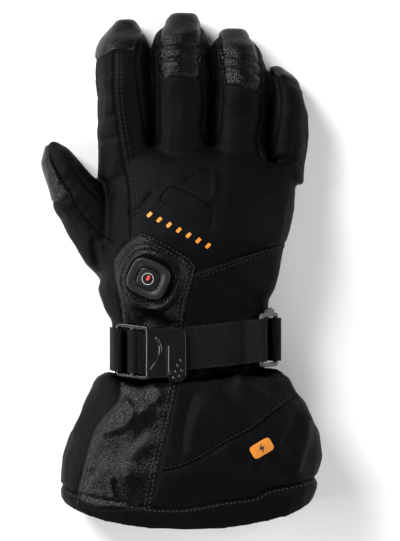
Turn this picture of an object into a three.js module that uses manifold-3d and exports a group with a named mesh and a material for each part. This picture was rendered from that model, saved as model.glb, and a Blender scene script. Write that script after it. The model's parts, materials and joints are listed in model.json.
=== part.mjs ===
// Heated winter glove for the right hand, lying palm down, fingers along +Y, back of the hand up (+Z).
// Lengths are millimetres. Tables hold shares of the named sizes, so the form follows every size.
import * as THREE from 'three';
import { mergeVertices } from 'three/addons/utils/BufferGeometryUtils.js';
import Module from 'manifold-3d';

const wasm = await Module();
wasm.setup();

// Main sizes of the glove body
const HAND_LENGTH = 116;
const HAND_WIDTH = 120;
const HAND_HEIGHT = 50;
const WRIST_WIDTH = 90.5;
const WRIST_HEIGHT = 46;
const CUFF_LENGTH = 89;
const CUFF_WIDTH = 147;
const CUFF_HEIGHT = 64;
const HEM_WIDTH = 12;
const HEM_DROP_BACK = 15;
const HEM_DROP_PALM = 5;

// Layers and clearances
const WALL = 4;
const CUFF_WALL = 2.5;
const HEM_BEAD = 0.5;
const LEATHER = 1.2;
const GAP = 0.3;
const FINGER_GAP = 0.6;
const SEAM_HEIGHT = 6.4;

// Fingers and thumb
const FINGERS = [
  { name: 'index', length: 74, width: 31.6, height: 31, rootDrop: 0, stub: 18 },
  { name: 'middle', length: 78, width: 33.8, height: 32, rootDrop: 0, stub: 18 },
  { name: 'ring', length: 68.5, width: 31.4, height: 31, rootDrop: 0, stub: 18 },
  { name: 'little', length: 56, width: 22.6, height: 27, rootDrop: 9, stub: 12 },
];
const THUMB_LENGTH = 79;
const THUMB_WIDTH = 29;
const THUMB_HEIGHT = 30;
const THUMB_ANGLE = 28.3;
const ROOT_STEP = 2;

// Strap, buckle and side clip
const WEBBING_WIDTH = 25;
const WEBBING = 1.5;
const BAR_CLEARANCE = 0.2;
const BUCKLE_LENGTH = 22;
const SLOT_CLEARANCE = 0.7;
const BUCKLE_THICKNESS = 2.6;
const BAR = 2.4;
const HARDWARE_HEIGHT = WEBBING_WIDTH + 2 * (BAR + SLOT_CLEARANCE);
const TAB_LENGTH = 22;
const CLIP_LENGTH = 18;
const HARDWARE_EDGE = 0.5;
const FRAME_CORNER = 3;
const CLIP_CORNER = 2;
const WINDOW_CORNER = 0.2;

// Control pad and its button
const PAD_LENGTH = 21;
const PAD_WIDTH = 24;
const PAD_THICKNESS = 3.2;
const SEAT_MARGIN = 3;
const SEAT_RISE = 1.6;
const RIM_LENGTH = 36;
const RIM_WIDTH = 37;
const RIM_THICKNESS = 3.4;
const BUTTON_LENGTH = 11.5;
const BUTTON_WIDTH = 12.5;
const BUTTON_THICKNESS = 2.1;
const BUTTON_PROUD = 0.6;
const BUTTON_CLEARANCE = 0.35;
const PAD_TURN = 25;
const PAD_CORNER = 7;
const PAD_EDGE = 0.8;
const SEAT_CORNER = 8.8;
const RIM_CORNER = 14.7;
const RIM_EDGE = 1;
const BUTTON_CORNER = 4.1;
const BUTTON_EDGE = 0.5;
const WELL_RISE = 0.35;
const LEAST_WALL = 2;

// Form of a cross section: widest level, roundness above and below it, and how far it is pressed flat
const WAIST = 0.42;
const ROUND_TOP = 2.3;
const ROUND_BOTTOM = 3.4;
const PRESSED = 2;
const BODY_POINTS = 28;
const INNER_POINTS = 20;
const FINGER_POINTS = 16;
const FINGER_INNER_POINTS = 12;
const FINGER_STEP = 0.25;
const BODY_STEP = 26;
const INNER_STEP = 19;
const LEAST_STEP = 2.5;
const PAST = 1;
const MERGE = 1e-4;

// Hand, from the middle of the strap (at 0) to the finger crotches (at 1).
// wide and lean are shares of HAND_WIDTH, tall of HAND_HEIGHT, and wrist is how far the wrist's size rules.
const HAND_ROWS = [
  { at: 0, wide: 0.76, lean: 0, tall: 0.9, wrist: 1 },
  { at: 0.135, wide: 0.76, lean: 0, tall: 0.9, wrist: 1 },
  { at: 0.175, wide: 0.788, lean: -0.014, tall: 0.95, wrist: 0.2 },
  { at: 0.22, wide: 0.808, lean: -0.016, tall: 0.975, wrist: 0 },
  { at: 0.31, wide: 0.87, lean: -0.017, tall: 1, wrist: 0 },
  { at: 0.42, wide: 0.9, lean: -0.004, tall: 1.02, wrist: 0 },
  { at: 0.56, wide: 0.885, lean: 0.035, tall: 1, wrist: 0 },
  { at: 0.68, wide: 0.895, lean: 0.056, tall: 0.95, wrist: 0 },
  { at: 0.8, wide: 0.93, lean: 0.062, tall: 0.87, wrist: 0 },
  { at: 0.9, wide: 0.975, lean: 0.06, tall: 0.74, wrist: 0 },
  { at: 0.96, wide: 0.985, lean: 0.056, tall: 0.64, wrist: 0 },
  { at: 1, wide: 0.97, lean: 0.056, tall: 0.52, wrist: 0 },
];
// Gauntlet, from the middle of the strap (at 0) to the hem (at 1), as shares of the cuff's sizes
const CUFF_ROWS = [
  { at: 0.177, wide: 0.62, lean: 0, tall: 0.72, wrist: 1 },
  { at: 0.205, wide: 0.72, lean: 0.004, tall: 0.82, wrist: 0 },
  { at: 0.25, wide: 0.757, lean: 0.01, tall: 0.86, wrist: 0 },
  { at: 0.33, wide: 0.82, lean: 0.016, tall: 0.9, wrist: 0 },
  { at: 0.46, wide: 0.912, lean: 0.022, tall: 0.94, wrist: 0 },
  { at: 0.6, wide: 0.982, lean: 0.02, tall: 0.99, wrist: 0 },
  { at: 0.74, wide: 1.01, lean: 0.008, tall: 1, wrist: 0 },
  { at: 0.865, wide: 0.998, lean: -0.006, tall: 0.99, wrist: 0 },
  { at: 1, wide: 0.967, lean: -0.012, tall: 0.96, wrist: 0 },
];
// Gathers either side of the strap: rows of small pleats round the body, depth a share of WALL
const GATHERS = [
  { at: 0.215, of: HAND_LENGTH, spread: 9, depth: 0.33, pleats: 9, turn: 0.3 },
  { at: -0.28, of: CUFF_LENGTH, spread: 9, depth: 0.42, pleats: 8, turn: 1.1 },
];
// Single folds of the body: at along its length, side and reach in degrees round it (0 right, 90 back)
const BODY_FOLDS = [
  { at: -0.3, of: CUFF_LENGTH, side: 30, reach: 34, spread: 5, depth: 0.62 },
  { at: -0.55, of: CUFF_LENGTH, side: 92, reach: 26, spread: 12, depth: 0.5 },
  { at: -0.72, of: CUFF_LENGTH, side: 22, reach: 22, spread: 9, depth: 0.56 },
  { at: 0.27, of: HAND_LENGTH, side: 118, reach: 28, spread: 8, depth: 0.44 },
  { at: 0.55, of: HAND_LENGTH, side: 8, reach: 30, spread: 8, depth: 0.38 },
  { at: 0.965, of: HAND_LENGTH, side: 6, reach: 40, spread: 5, depth: 0.62 },
];

// Finger sections from root (at 0) to tip (at 1). wide and lean are shares of its width, tall and lift of its
// height
const FINGER_ROWS = {
  index: [
    { at: 0, wide: 0.985, lean: 0, tall: 1, lift: 0.0 },
    { at: 0.25, wide: 1.03, lean: -0.02, tall: 0.98, lift: 0.06 },
    { at: 0.45, wide: 1.02, lean: -0.02, tall: 0.94, lift: 0.09 },
    { at: 0.63, wide: 1.02, lean: -0.055, tall: 0.9, lift: 0.06 },
    { at: 0.74, wide: 0.95, lean: -0.045, tall: 0.86, lift: 0.02 },
    { at: 0.84, wide: 0.83, lean: -0.01, tall: 0.76, lift: 0.0 },
    { at: 0.92, wide: 0.68, lean: 0.01, tall: 0.62, lift: 0.0 },
    { at: 0.975, wide: 0.5, lean: 0.015, tall: 0.46, lift: 0.03 },
    { at: 1, wide: 0.3, lean: 0.015, tall: 0.32, lift: 0.08 },
  ],
  middle: [
    { at: 0, wide: 0.985, lean: 0, tall: 1, lift: 0.0 },
    { at: 0.2, wide: 0.98, lean: -0.012, tall: 0.98, lift: 0.06 },
    { at: 0.45, wide: 1.03, lean: 0, tall: 0.94, lift: 0.09 },
    { at: 0.62, wide: 1.03, lean: -0.012, tall: 0.9, lift: 0.06 },
    { at: 0.74, wide: 0.975, lean: -0.024, tall: 0.86, lift: 0.02 },
    { at: 0.84, wide: 0.85, lean: -0.018, tall: 0.76, lift: 0.0 },
    { at: 0.92, wide: 0.72, lean: 0.002, tall: 0.62, lift: 0.0 },
    { at: 0.975, wide: 0.56, lean: 0.02, tall: 0.46, lift: 0.03 },
    { at: 1, wide: 0.36, lean: 0.03, tall: 0.32, lift: 0.08 },
  ],
  ring: [
    { at: 0, wide: 0.97, lean: 0, tall: 1, lift: 0.0 },
    { at: 0.2, wide: 1.02, lean: 0.02, tall: 0.98, lift: 0.06 },
    { at: 0.45, wide: 1.02, lean: 0.05, tall: 0.94, lift: 0.09 },
    { at: 0.65, wide: 0.985, lean: 0.015, tall: 0.9, lift: 0.06 },
    { at: 0.77, wide: 0.935, lean: -0.03, tall: 0.86, lift: 0.02 },
    { at: 0.86, wide: 0.86, lean: -0.08, tall: 0.76, lift: 0.0 },
    { at: 0.93, wide: 0.75, lean: -0.11, tall: 0.62, lift: 0.0 },
    { at: 0.975, wide: 0.6, lean: -0.11, tall: 0.46, lift: 0.03 },
    { at: 1, wide: 0.38, lean: -0.1, tall: 0.32, lift: 0.08 },
  ],
  little: [
    { at: 0, wide: 0.95, lean: 0, tall: 1, lift: 0.0 },
    { at: 0.18, wide: 0.98, lean: 0.02, tall: 1, lift: 0.04 },
    { at: 0.36, wide: 1.0, lean: 0.07, tall: 0.98, lift: 0.07 },
    { at: 0.52, wide: 1.0, lean: 0.08, tall: 0.95, lift: 0.08 },
    { at: 0.68, wide: 0.93, lean: 0.03, tall: 0.9, lift: 0.05 },
    { at: 0.8, wide: 0.82, lean: -0.05, tall: 0.82, lift: 0.02 },
    { at: 0.9, wide: 0.66, lean: -0.15, tall: 0.68, lift: 0.0 },
    { at: 0.965, wide: 0.46, lean: -0.24, tall: 0.5, lift: 0.02 },
    { at: 1, wide: 0.24, lean: -0.28, tall: 0.34, lift: 0.06 },
  ],
};
// Creases across the back of each finger, where it bends: at along it, depth a share of WALL
const FINGER_FOLDS = [
  { at: 0.24, side: 90, reach: 75, spread: 3.2, depth: 0.3 },
  { at: 0.46, side: 90, reach: 80, spread: 3.0, depth: 0.25 },
  { at: 0.72, side: 90, reach: 62, spread: 2.2, depth: 0.28 },
];
const THUMB_ROWS = [
  { at: -0.14, wide: 0.9, lean: 0.04, tall: 0.94, lift: 0 },
  { at: 0, wide: 1.05, lean: -0.02, tall: 1, lift: 0 },
  { at: 0.29, wide: 1.13, lean: -0.04, tall: 1.02, lift: 0 },
  { at: 0.49, wide: 1.1, lean: -0.055, tall: 1, lift: 0.02 },
  { at: 0.6, wide: 0.98, lean: -0.08, tall: 0.96, lift: 0.04 },
  { at: 0.7, wide: 0.84, lean: -0.08, tall: 0.92, lift: 0.05 },
  { at: 0.81, wide: 0.73, lean: -0.08, tall: 0.84, lift: 0.04 },
  { at: 0.9, wide: 0.58, lean: -0.07, tall: 0.7, lift: 0.03 },
  { at: 0.965, wide: 0.36, lean: -0.05, tall: 0.52, lift: 0.05 },
  { at: 1, wide: 0.17, lean: -0.04, tall: 0.36, lift: 0.09 },
];
const THUMB_FOLDS = [
  { at: 0.34, side: 100, reach: 60, spread: 4, depth: 0.38 },
  { at: 0.5, side: 80, reach: 60, spread: 4, depth: 0.3 },
  { at: 0.68, side: 90, reach: 70, spread: 3, depth: 0.25 },
];
// Where the thumb's axis starts inside the hand: shares of HAND_WIDTH and HAND_LENGTH
const THUMB_ROOT = { x: -0.358, y: 0.425 };

// Leather on the back of the finger tips, from a share of the length to the tip, between shares of the width
const CAPS = {
  index: { from: 0.72, slant: -0.3, left: -0.8, right: 0.26 },
  middle: { from: 0.5, slant: 0.05, left: -0.385, right: 0.36 },
  ring: { from: 0.5, slant: 0.06, left: -0.33, right: 0.38 },
  little: { from: 0.78, slant: 0.25, left: -0.3, right: 0.8 },
};
// Thumb leather patch on the outer side of the tip
const THUMB_PATCH = { from: 0.6, right: -0.12 };

// Leather panel that carries the control pad: outline as shares of HAND_WIDTH and HAND_LENGTH above the
// strap, and of CUFF_WIDTH and CUFF_LENGTH below it
const PANEL_UPPER = [
  { x: -0.338, y: 0.02 },
  { x: -0.336, y: 0.14 },
  { x: -0.35, y: 0.28 },
  { x: -0.37, y: 0.41 },
  { x: -0.355, y: 0.475 },
  { x: -0.315, y: 0.515 },
  { x: -0.232, y: 0.575 },
  { x: -0.13, y: 0.525 },
  { x: -0.045, y: 0.48 },
  { x: 0.028, y: 0.413 },
  { x: 0.02, y: 0.345 },
  { x: -0.008, y: 0.25 },
  { x: -0.028, y: 0.13 },
  { x: -0.036, y: 0.02 },
];
const PANEL_LOWER = [
  { x: -0.036, y: -0.12 },
  { x: -0.062, y: -0.26 },
  { x: -0.09, y: -0.52 },
  { x: -0.118, y: -0.74 },
  { x: -0.142, y: -0.97 },
  { x: -0.145, y: -1.16 },
  { x: -0.46, y: -1.16 },
  { x: -0.443, y: -0.95 },
  { x: -0.412, y: -0.74 },
  { x: -0.374, y: -0.525 },
  { x: -0.338, y: -0.44 },
  { x: -0.276, y: -0.335 },
  { x: -0.272, y: -0.2 },
  { x: -0.27, y: -0.1 },
];
// Seam between hand and gauntlet: height on the middle line as a share of HAND_LENGTH, and its slope
const SPLIT = { at: 0.376, slope: 0.3125 };
// The palm leather ends above the strap, at this share of HAND_LENGTH
const PALM_END = 0.17;
// Middle of the control pad: shares of HAND_WIDTH and HAND_LENGTH
const PAD_PLACE = { x: -0.193, y: 0.345 };
// Middle line of the strap over the wrist: x as a share of WRIST_WIDTH, rise as a share of WEBBING_WIDTH
const STRAP_COURSE = [
  { x: -0.56, rise: -0.03 },
  { x: -0.46, rise: -0.055 },
  { x: -0.28, rise: -0.13 },
  { x: -0.16, rise: -0.115 },
  { x: 0, rise: -0.01 },
  { x: 0.25, rise: 0.08 },
  { x: 0.56, rise: 0.18 },
];
// Outline of the pull tab from the buckle's bar: x as a share of TAB_LENGTH, y as a share of HARDWARE_HEIGHT
const TAB_OUTLINE = [
  { x: 0, y: -0.46 },
  { x: 0.5, y: -0.47 },
  { x: 0.56, y: -0.54 },
  { x: 0.66, y: -0.58 },
  { x: 0.8, y: -0.595 },
  { x: 0.93, y: -0.575 },
  { x: 1, y: -0.52 },
  { x: 1, y: 0.24 },
  { x: 0.95, y: 0.34 },
  { x: 0.82, y: 0.42 },
  { x: 0.5, y: 0.45 },
  { x: 0, y: 0.46 },
];
// Outline of the clip's hook above its frame: x as a share of CLIP_LENGTH, y as a share of BAR
const HOOK_OUTLINE = [
  { x: 0.25, y: 0 },
  { x: 0.25, y: 1.2 },
  { x: 0.1, y: 1.75 },
  { x: -0.08, y: 1.5 },
  { x: -0.2, y: 0.8 },
  { x: -0.2, y: 0 },
];
// Degrees round the wrist section: middle bars of buckle and clip, ends of the sewn loops that hold them, how
// far past its bar each piece of webbing meets the surface again, and where the tab's end rests
const BUCKLE_SIDE = 127.5;
const CLIP_SIDE = 24;
const BUCKLE_LOOP_END = 172;
const CLIP_LOOP_END = -14;
const BUCKLE_LEAVE = 16;
const CLIP_LEAVE = 26;
const BUCKLE_RETURN = 34;
const CLIP_RETURN = 24;
const TAB_REST = 33;
const SIDE_STEP = 2;

const degrees = (value) => value * Math.PI / 180;
const mix = (a, b, share) => a + (b - a) * share;
const power = (value, round) => Math.sign(value) * Math.abs(value) ** (2 / round);

// Smooth value of every column of a table between its rows, without overshoot
function rowAt(rows, key, place) {
  const last = rows.length - 1;
  const held = Math.min(Math.max(place, rows[0][key]), rows[last][key]);
  let i = 0;
  while (i < last - 1 && rows[i + 1][key] < held) i += 1;
  const span = rows[i + 1][key] - rows[i][key];
  const u = (held - rows[i][key]) / span;
  const result = {};
  for (const column of Object.keys(rows[i])) {
    const value = (k) => rows[Math.min(Math.max(k, 0), last)][column];
    const reached = (k) => rows[Math.min(Math.max(k, 0), last)][key];
    const slope = (k) => {
      const before = (value(k) - value(k - 1)) / Math.max(reached(k) - reached(k - 1), 1e-9);
      const after = (value(k + 1) - value(k)) / Math.max(reached(k + 1) - reached(k), 1e-9);
      return k > 0 && k < last && before * after > 0 ? 2 * before * after / (before + after) : 0;
    };
    const a = value(i);
    const b = value(i + 1);
    const bend = slope(i) * span * u * (1 - u) ** 2 - slope(i + 1) * span * u ** 2 * (1 - u);
    result[column] = mix(a, b, u * u * (3 - 2 * u)) + bend;
  }
  return result;
}

// Points of one cross section, right side first and then over the back; grow moves it out (or in)
function sectionPoint(section, angle, grow) {
  const c = Math.cos(angle);
  const s = Math.sin(angle);
  const bottom = section.bottom - grow;
  const top = section.top + grow;
  const waist = mix(section.bottom, section.top, WAIST);
  const rise = s > 0 ? top - waist : waist - bottom + PRESSED;
  const round = s > 0 ? ROUND_TOP : ROUND_BOTTOM;
  const dent = section.dent ? section.dent(angle) : 0;
  const x = section.centre + (section.width / 2 + grow - dent) * power(c, round);
  const z = waist + (rise - dent) * power(s, round);
  return new THREE.Vector3(x, section.y, Math.max(z, bottom));
}

function foldDent(folds, y, size, angle) {
  let dent = 0;
  for (const fold of folds) {
    const along = 1 - ((y - fold.at * (fold.of ?? size)) / fold.spread) ** 2;
    const turn = Math.abs(((angle * 180 / Math.PI - fold.side + 540) % 360) - 180) / fold.reach;
    if (along > 0 && turn < 1) dent += fold.depth * WALL * along ** 2 * Math.cos(turn * Math.PI / 2) ** 2;
  }
  return dent;
}

function gatherDent(y, angle) {
  let dent = 0;
  for (const row of GATHERS) {
    const along = 1 - ((y - row.at * row.of) / row.spread) ** 2;
    if (along > 0) dent += row.depth * WALL * along ** 2 * Math.cos(row.pleats * angle + row.turn);
  }
  return angle > Math.PI ? 0 : dent * Math.sin(angle);
}

// The body's sections in millimetres, hem to crotches
const PALM_LIFT = LEATHER + GAP;
const handRows = HAND_ROWS.map((row) => ({
  y: row.at * HAND_LENGTH,
  width: mix(row.wide * HAND_WIDTH, WRIST_WIDTH, row.wrist),
  centre: row.lean * HAND_WIDTH,
  top: mix(row.tall * HAND_HEIGHT, WRIST_HEIGHT, row.wrist) + PALM_LIFT,
  bottom: row.at > 0 ? PALM_LIFT : 0,
}));
const cuffRows = CUFF_ROWS.map((row) => ({
  y: -row.at * CUFF_LENGTH,
  width: mix(row.wide * CUFF_WIDTH, WRIST_WIDTH, row.wrist),
  centre: row.lean * CUFF_WIDTH,
  top: mix(row.tall * CUFF_HEIGHT, WRIST_HEIGHT, row.wrist) + PALM_LIFT,
  bottom: 0,
}));
const bodyRows = [...cuffRows.reverse(), ...handRows];

function bodySection(y, dented) {
  const section = rowAt(bodyRows, 'y', y);
  section.y = y;
  if (dented) section.dent = (angle) => foldDent(BODY_FOLDS, y, 1, angle) + gatherDent(y, angle);
  return section;
}

// The hem hangs lower at the back and the palm than at the sides, growing towards the open end
function hemDrop(section, angle) {
  const share = Math.min(Math.max(-section.y / CUFF_LENGTH, 0), 1) ** 2;
  const s = Math.sin(angle);
  return share * (s > 0 ? HEM_DROP_BACK * s ** 1.5 : HEM_DROP_PALM * (-s) ** 1.5);
}

// Height of the strap's middle line over the wrist at x
function strapRise(x) {
  return rowAt(STRAP_COURSE, 'x', x / WRIST_WIDTH).rise * WEBBING_WIDTH;
}

// The cinched part of the wrist follows the strap, and this fades away from it
function cinchShare(y) {
  const past = (Math.abs(y) - WEBBING_WIDTH / 2) / WEBBING_WIDTH;
  const share = Math.min(Math.max(1 - past, 0), 1);
  return share * share * (3 - 2 * share);
}

function bodyRing(y, grow, points = BODY_POINTS, dented = true) {
  const section = bodySection(y, dented);
  const ring = [];
  for (let i = 0; i < points; i += 1) {
    const angle = 2 * Math.PI * i / points;
    const point = sectionPoint(section, angle, grow);
    point.y += cinchShare(y) * strapRise(point.x) - hemDrop(section, angle);
    ring.push(point);
  }
  return ring;
}

// Even places between two ends, with more where the form needs them; those closer than apart are left out
function places(from, to, step, extra = [], apart = step / 3) {
  const count = Math.max(1, Math.round((to - from) / step));
  const list = [from, to];
  for (let i = 1; i < count; i += 1) list.push(mix(from, to, i / count));
  for (const place of extra) {
    const near = list.some((other) => Math.abs(other - place) < apart);
    if (place > from && place < to && !near) list.push(place);
  }
  return list.sort((a, b) => a - b);
}

// A closed skin through rings of points, with a fan at each end; rings run along +Y
function skin(rings) {
  const count = rings[0].length;
  const points = rings.flat();
  const faces = [];
  for (let j = 0; j + 1 < rings.length; j += 1) {
    for (let i = 0; i < count; i += 1) {
      const k = (i + 1) % count;
      const [a, b, c, d] = [j * count + i, j * count + k, (j + 1) * count + k, (j + 1) * count + i];
      faces.push(a, d, c, a, c, b);
    }
  }
  const ends = [rings[0], rings[rings.length - 1]];
  ends.forEach((ring, end) => {
    const middle = ring.reduce((sum, p) => sum.add(p), new THREE.Vector3()).divideScalar(count);
    const centre = points.push(middle) - 1;
    const first = end * (rings.length - 1) * count;
    for (let i = 0; i < count; i += 1) {
      const [p, q] = [first + i, first + (i + 1) % count];
      if (end === 0) faces.push(centre, p, q);
      else faces.push(centre, q, p);
    }
  });
  return toSolid(meshOf(points, faces));
}

function meshOf(points, faces) {
  const geometry = new THREE.BufferGeometry();
  geometry.setAttribute('position', new THREE.Float32BufferAttribute(points.flatMap((p) => p.toArray()), 3));
  geometry.setIndex(faces);
  return geometry;
}

// Only the points and faces of a geometry, joined while its twin points are still equal
function joined(geometry) {
  for (const name of Object.keys(geometry.attributes)) {
    if (name !== 'position') geometry.deleteAttribute(name);
  }
  return mergeVertices(geometry, MERGE);
}

function toSolid(geometry) {
  const merged = joined(geometry.clone());
  const mesh = new wasm.Mesh({
    numProp: 3,
    vertProperties: new Float32Array(merged.attributes.position.array),
    triVerts: new Uint32Array(merged.index.array),
  });
  mesh.merge();
  return new wasm.Manifold(mesh);
}

function toGeometry(solid) {
  const mesh = solid.getMesh();
  const geometry = new THREE.BufferGeometry();
  geometry.setAttribute('position', new THREE.Float32BufferAttribute(mesh.vertProperties, 3));
  geometry.setIndex(Array.from(mesh.triVerts));
  return geometry;
}

function box(x0, x1, y0, y1, z0, z1) {
  const geometry = joined(new THREE.BoxGeometry(x1 - x0, y1 - y0, z1 - z0));
  geometry.translate((x0 + x1) / 2, (y0 + y1) / 2, (z0 + z1) / 2);
  return toSolid(geometry);
}

function prism(outline, from, to) {
  const shape = new THREE.Shape(outline.map((p) => new THREE.Vector2(p.x, p.y)));
  const geometry = joined(new THREE.ExtrudeGeometry(shape, { depth: to - from, bevelEnabled: false }));
  geometry.translate(0, 0, from);
  return geometry;
}

const REACH = 2 * (HAND_LENGTH + CUFF_LENGTH + FINGERS[1].length);
const union = (solids) => solids.reduce((sum, solid) => sum.add(solid));

// Half space on one side of the seam between hand and gauntlet
function aboveSplit(shift) {
  const half = joined(new THREE.BoxGeometry(REACH, REACH, REACH));
  half.translate(0, REACH / 2 + shift, 0);
  half.rotateZ(Math.atan(SPLIT.slope));
  half.translate(0, SPLIT.at * HAND_LENGTH, 0);
  return toSolid(half);
}

// Fingers: each stands beside the last one, across the knuckles
const knuckles = rowAt(bodyRows, 'y', HAND_LENGTH);
const fingerSpan = FINGERS.reduce((sum, finger) => sum + finger.width, 0) + 3 * FINGER_GAP;
let nextLeft = knuckles.centre - fingerSpan / 2;
for (const finger of FINGERS) {
  finger.centre = nextLeft + finger.width / 2;
  finger.root = HAND_LENGTH - finger.rootDrop;
  nextLeft += finger.width + FINGER_GAP;
}

function fingerRings(finger, rows, folds, grow, from, points) {
  const size = finger.length + Math.max(grow, -WALL);
  const tips = rows.slice(-4).map((row) => row.at);
  const creases = grow < 0 ? [] : folds.map((fold) => fold.at);
  const shares = places(from / finger.length, 1, FINGER_STEP, [...creases, ...tips]);
  return shares.map((share) => {
    const row = rowAt(rows, 'at', share);
    const y = share * size;
    const section = {
      y: finger.root + y,
      width: Math.max(row.wide * finger.width, 2 * (LEAST_WALL - grow)),
      centre: finger.centre + row.lean * finger.width,
      bottom: PALM_LIFT + row.lift * finger.height,
      top: PALM_LIFT + Math.max((row.lift + row.tall) * finger.height, 2 * (LEAST_WALL - grow)),
    };
    if (grow >= 0) section.dent = (angle) => foldDent(folds, y, size, angle);
    const ring = [];
    for (let i = 0; i < points; i += 1) ring.push(sectionPoint(section, 2 * Math.PI * i / points, grow));
    return ring;
  });
}

function fingerSkin(finger, grow) {
  const points = grow < 0 ? FINGER_INNER_POINTS : FINGER_POINTS;
  return skin(fingerRings(finger, FINGER_ROWS[finger.name], FINGER_FOLDS, grow, -finger.stub, points));
}

// Thumb: made upright, then turned out to the left and set into the side of the hand
const thumb = { length: THUMB_LENGTH, width: THUMB_WIDTH, height: THUMB_HEIGHT, centre: 0, root: 0 };
const thumbPlace = new THREE.Matrix4()
  .makeTranslation(THUMB_ROOT.x * HAND_WIDTH, THUMB_ROOT.y * HAND_LENGTH, 0)
  .multiply(new THREE.Matrix4().makeRotationZ(degrees(THUMB_ANGLE)));
function thumbSkin(grow) {
  const from = THUMB_ROWS[0].at * THUMB_LENGTH;
  const points = grow < 0 ? FINGER_INNER_POINTS : FINGER_POINTS;
  const rings = fingerRings(thumb, THUMB_ROWS, THUMB_FOLDS, grow, from, points);
  return skin(rings.map((ring) => ring.map((point) => point.applyMatrix4(thumbPlace))));
}

// Body skins, closed at both ends; the inner one runs out of the hem
const foldPlaces = BODY_FOLDS.map((fold) => fold.at * fold.of);
const gatherPlaces = GATHERS.flatMap((row) => [-1, 1, 0].map((k) => row.at * row.of + k * row.spread));
const seamY = -(CUFF_LENGTH - HEM_WIDTH);
const strapEdges = [-1, 1].map((side) => side * (HARDWARE_HEIGHT / 2 + GAP));
const extraPlaces = [...strapEdges, ...gatherPlaces, ...foldPlaces];
const bodyPlaces = places(seamY, HAND_LENGTH, BODY_STEP, extraPlaces, LEAST_STEP);
const bodySkin = (grow, more = []) => skin([...more, ...bodyPlaces].map((y) => bodyRing(y, grow)));
const innerPlaces = places(seamY - PAST, HAND_LENGTH - WALL, INNER_STEP);
function wallAt(y) {
  const share = Math.min(Math.max((y + CUFF_LENGTH / 3) / (CUFF_LENGTH / 3), 0), 1);
  return mix(CUFF_WALL, WALL, share);
}
const innerBody = skin(innerPlaces.map((y) => bodyRing(y, -wallAt(y), INNER_POINTS, false)));

const bodyOuter = bodySkin(0);
const bodyGap = bodySkin(GAP, [seamY - 2 * WALL]);
const bodyLeather = bodySkin(GAP + LEATHER);
const fingerOuter = FINGERS.map((finger) => fingerSkin(finger, 0));
const fingerInner = FINGERS.map((finger) => fingerSkin(finger, -WALL));
const fingerGap = FINGERS.map((finger) => fingerSkin(finger, GAP));
const fingerLeather = FINGERS.map((finger) => fingerSkin(finger, GAP + LEATHER));
const thumbOuter = thumbSkin(0);
const thumbInner = thumbSkin(-WALL);

const beyond = (y) => box(-REACH, REACH, y, REACH, -REACH, REACH);
const below = (y) => box(-REACH, REACH, -REACH, y, -REACH, REACH);
const over = (z) => box(-REACH, REACH, -REACH, REACH, z, REACH);
const under = (z) => box(-REACH, REACH, -REACH, REACH, -REACH, z);
const rootY = (finger) => finger.root + ROOT_STEP;

// The little finger's root lies further back, so the hand is cut away beside it
const little = FINGERS[3];
const littleLeft = little.centre - little.width / 2 - FINGER_GAP;
const littleCorner = box(littleLeft, REACH, little.root, REACH, -REACH, REACH);

function handShell() {
  const stubs = FINGERS.map((finger, i) => fingerOuter[i].intersect(below(rootY(finger))));
  const outer = union([bodyOuter.subtract(littleCorner), ...stubs]);
  const hollow = union([innerBody.subtract(littleCorner), ...fingerInner, thumbInner]);
  return outer.subtract(hollow).intersect(aboveSplit(GAP / 2));
}

function fingerNode(i) {
  const closed = fingerOuter[i].intersect(beyond(rootY(FINGERS[i]) + GAP));
  return closed.subtract(fingerInner[i]);
}

function thumbNode() {
  return thumbOuter.subtract(thumbInner).subtract(bodyGap.add(fingerGap[0]));
}

function gauntlet() {
  return bodyOuter.subtract(innerBody).subtract(aboveSplit(-GAP / 2));
}

// The hem is a turned edge, a little thicker than the gauntlet
function hemBand() {
  const [top, end] = [seamY - GAP, -CUFF_LENGTH];
  const rows = [0, 0.12, 0.88, 1].map((share) => mix(end, top, share));
  const bead = [0, HEM_BEAD, HEM_BEAD, 0];
  const outer = skin(rows.map((y, i) => bodyRing(y, bead[i])));
  const innerRows = [end - PAST, mix(end, top, 0.5), top + PAST];
  const inner = skin(innerRows.map((y) => bodyRing(y, -CUFF_WALL, INNER_POINTS)));
  return outer.subtract(inner).intersect(over(0));
}

// Leather of the palm: one skin under hand, fingers and thumb, slit between the fingers
function palmLeather() {
  const outer = union([bodyLeather.subtract(littleCorner), ...fingerLeather, thumbSkin(GAP + LEATHER)]);
  const inner = union([bodyGap, ...fingerGap, thumbSkin(GAP)]);
  const region = under(SEAM_HEIGHT).intersect(beyond(PALM_END * HAND_LENGTH));
  const slits = FINGERS.slice(1).map((finger) => {
    const x = finger.centre - (finger.width + FINGER_GAP) / 2;
    return box(x - LEATHER, x + LEATHER, finger.root + 2 * ROOT_STEP, REACH, -REACH, REACH);
  });
  return outer.intersect(region).subtract(union([inner, ...slits]));
}

function capLeather(i) {
  const finger = FINGERS[i];
  const cap = CAPS[finger.name];
  const y = finger.root + cap.from * finger.length;
  const [left, right] = [cap.left * finger.width, cap.right * finger.width];
  const outline = [
    { x: finger.centre + left, y: y + cap.slant * left },
    { x: finger.centre + right, y: y + cap.slant * right },
    { x: finger.centre + right, y: REACH },
    { x: finger.centre + left, y: REACH },
  ];
  const region = toSolid(prism(outline, SEAM_HEIGHT + GAP, REACH));
  return fingerLeather[i].subtract(fingerGap[i]).intersect(region);
}

function thumbPatch() {
  const y = THUMB_PATCH.from * THUMB_LENGTH;
  const x = THUMB_PATCH.right * THUMB_WIDTH;
  const geometry = joined(new THREE.BoxGeometry(REACH, REACH, REACH));
  geometry.translate(x - REACH / 2, y + REACH / 2, SEAM_HEIGHT + GAP + REACH / 2);
  geometry.applyMatrix4(thumbPlace);
  return thumbSkin(GAP + LEATHER).subtract(thumbSkin(GAP)).intersect(toSolid(geometry));
}

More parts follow.
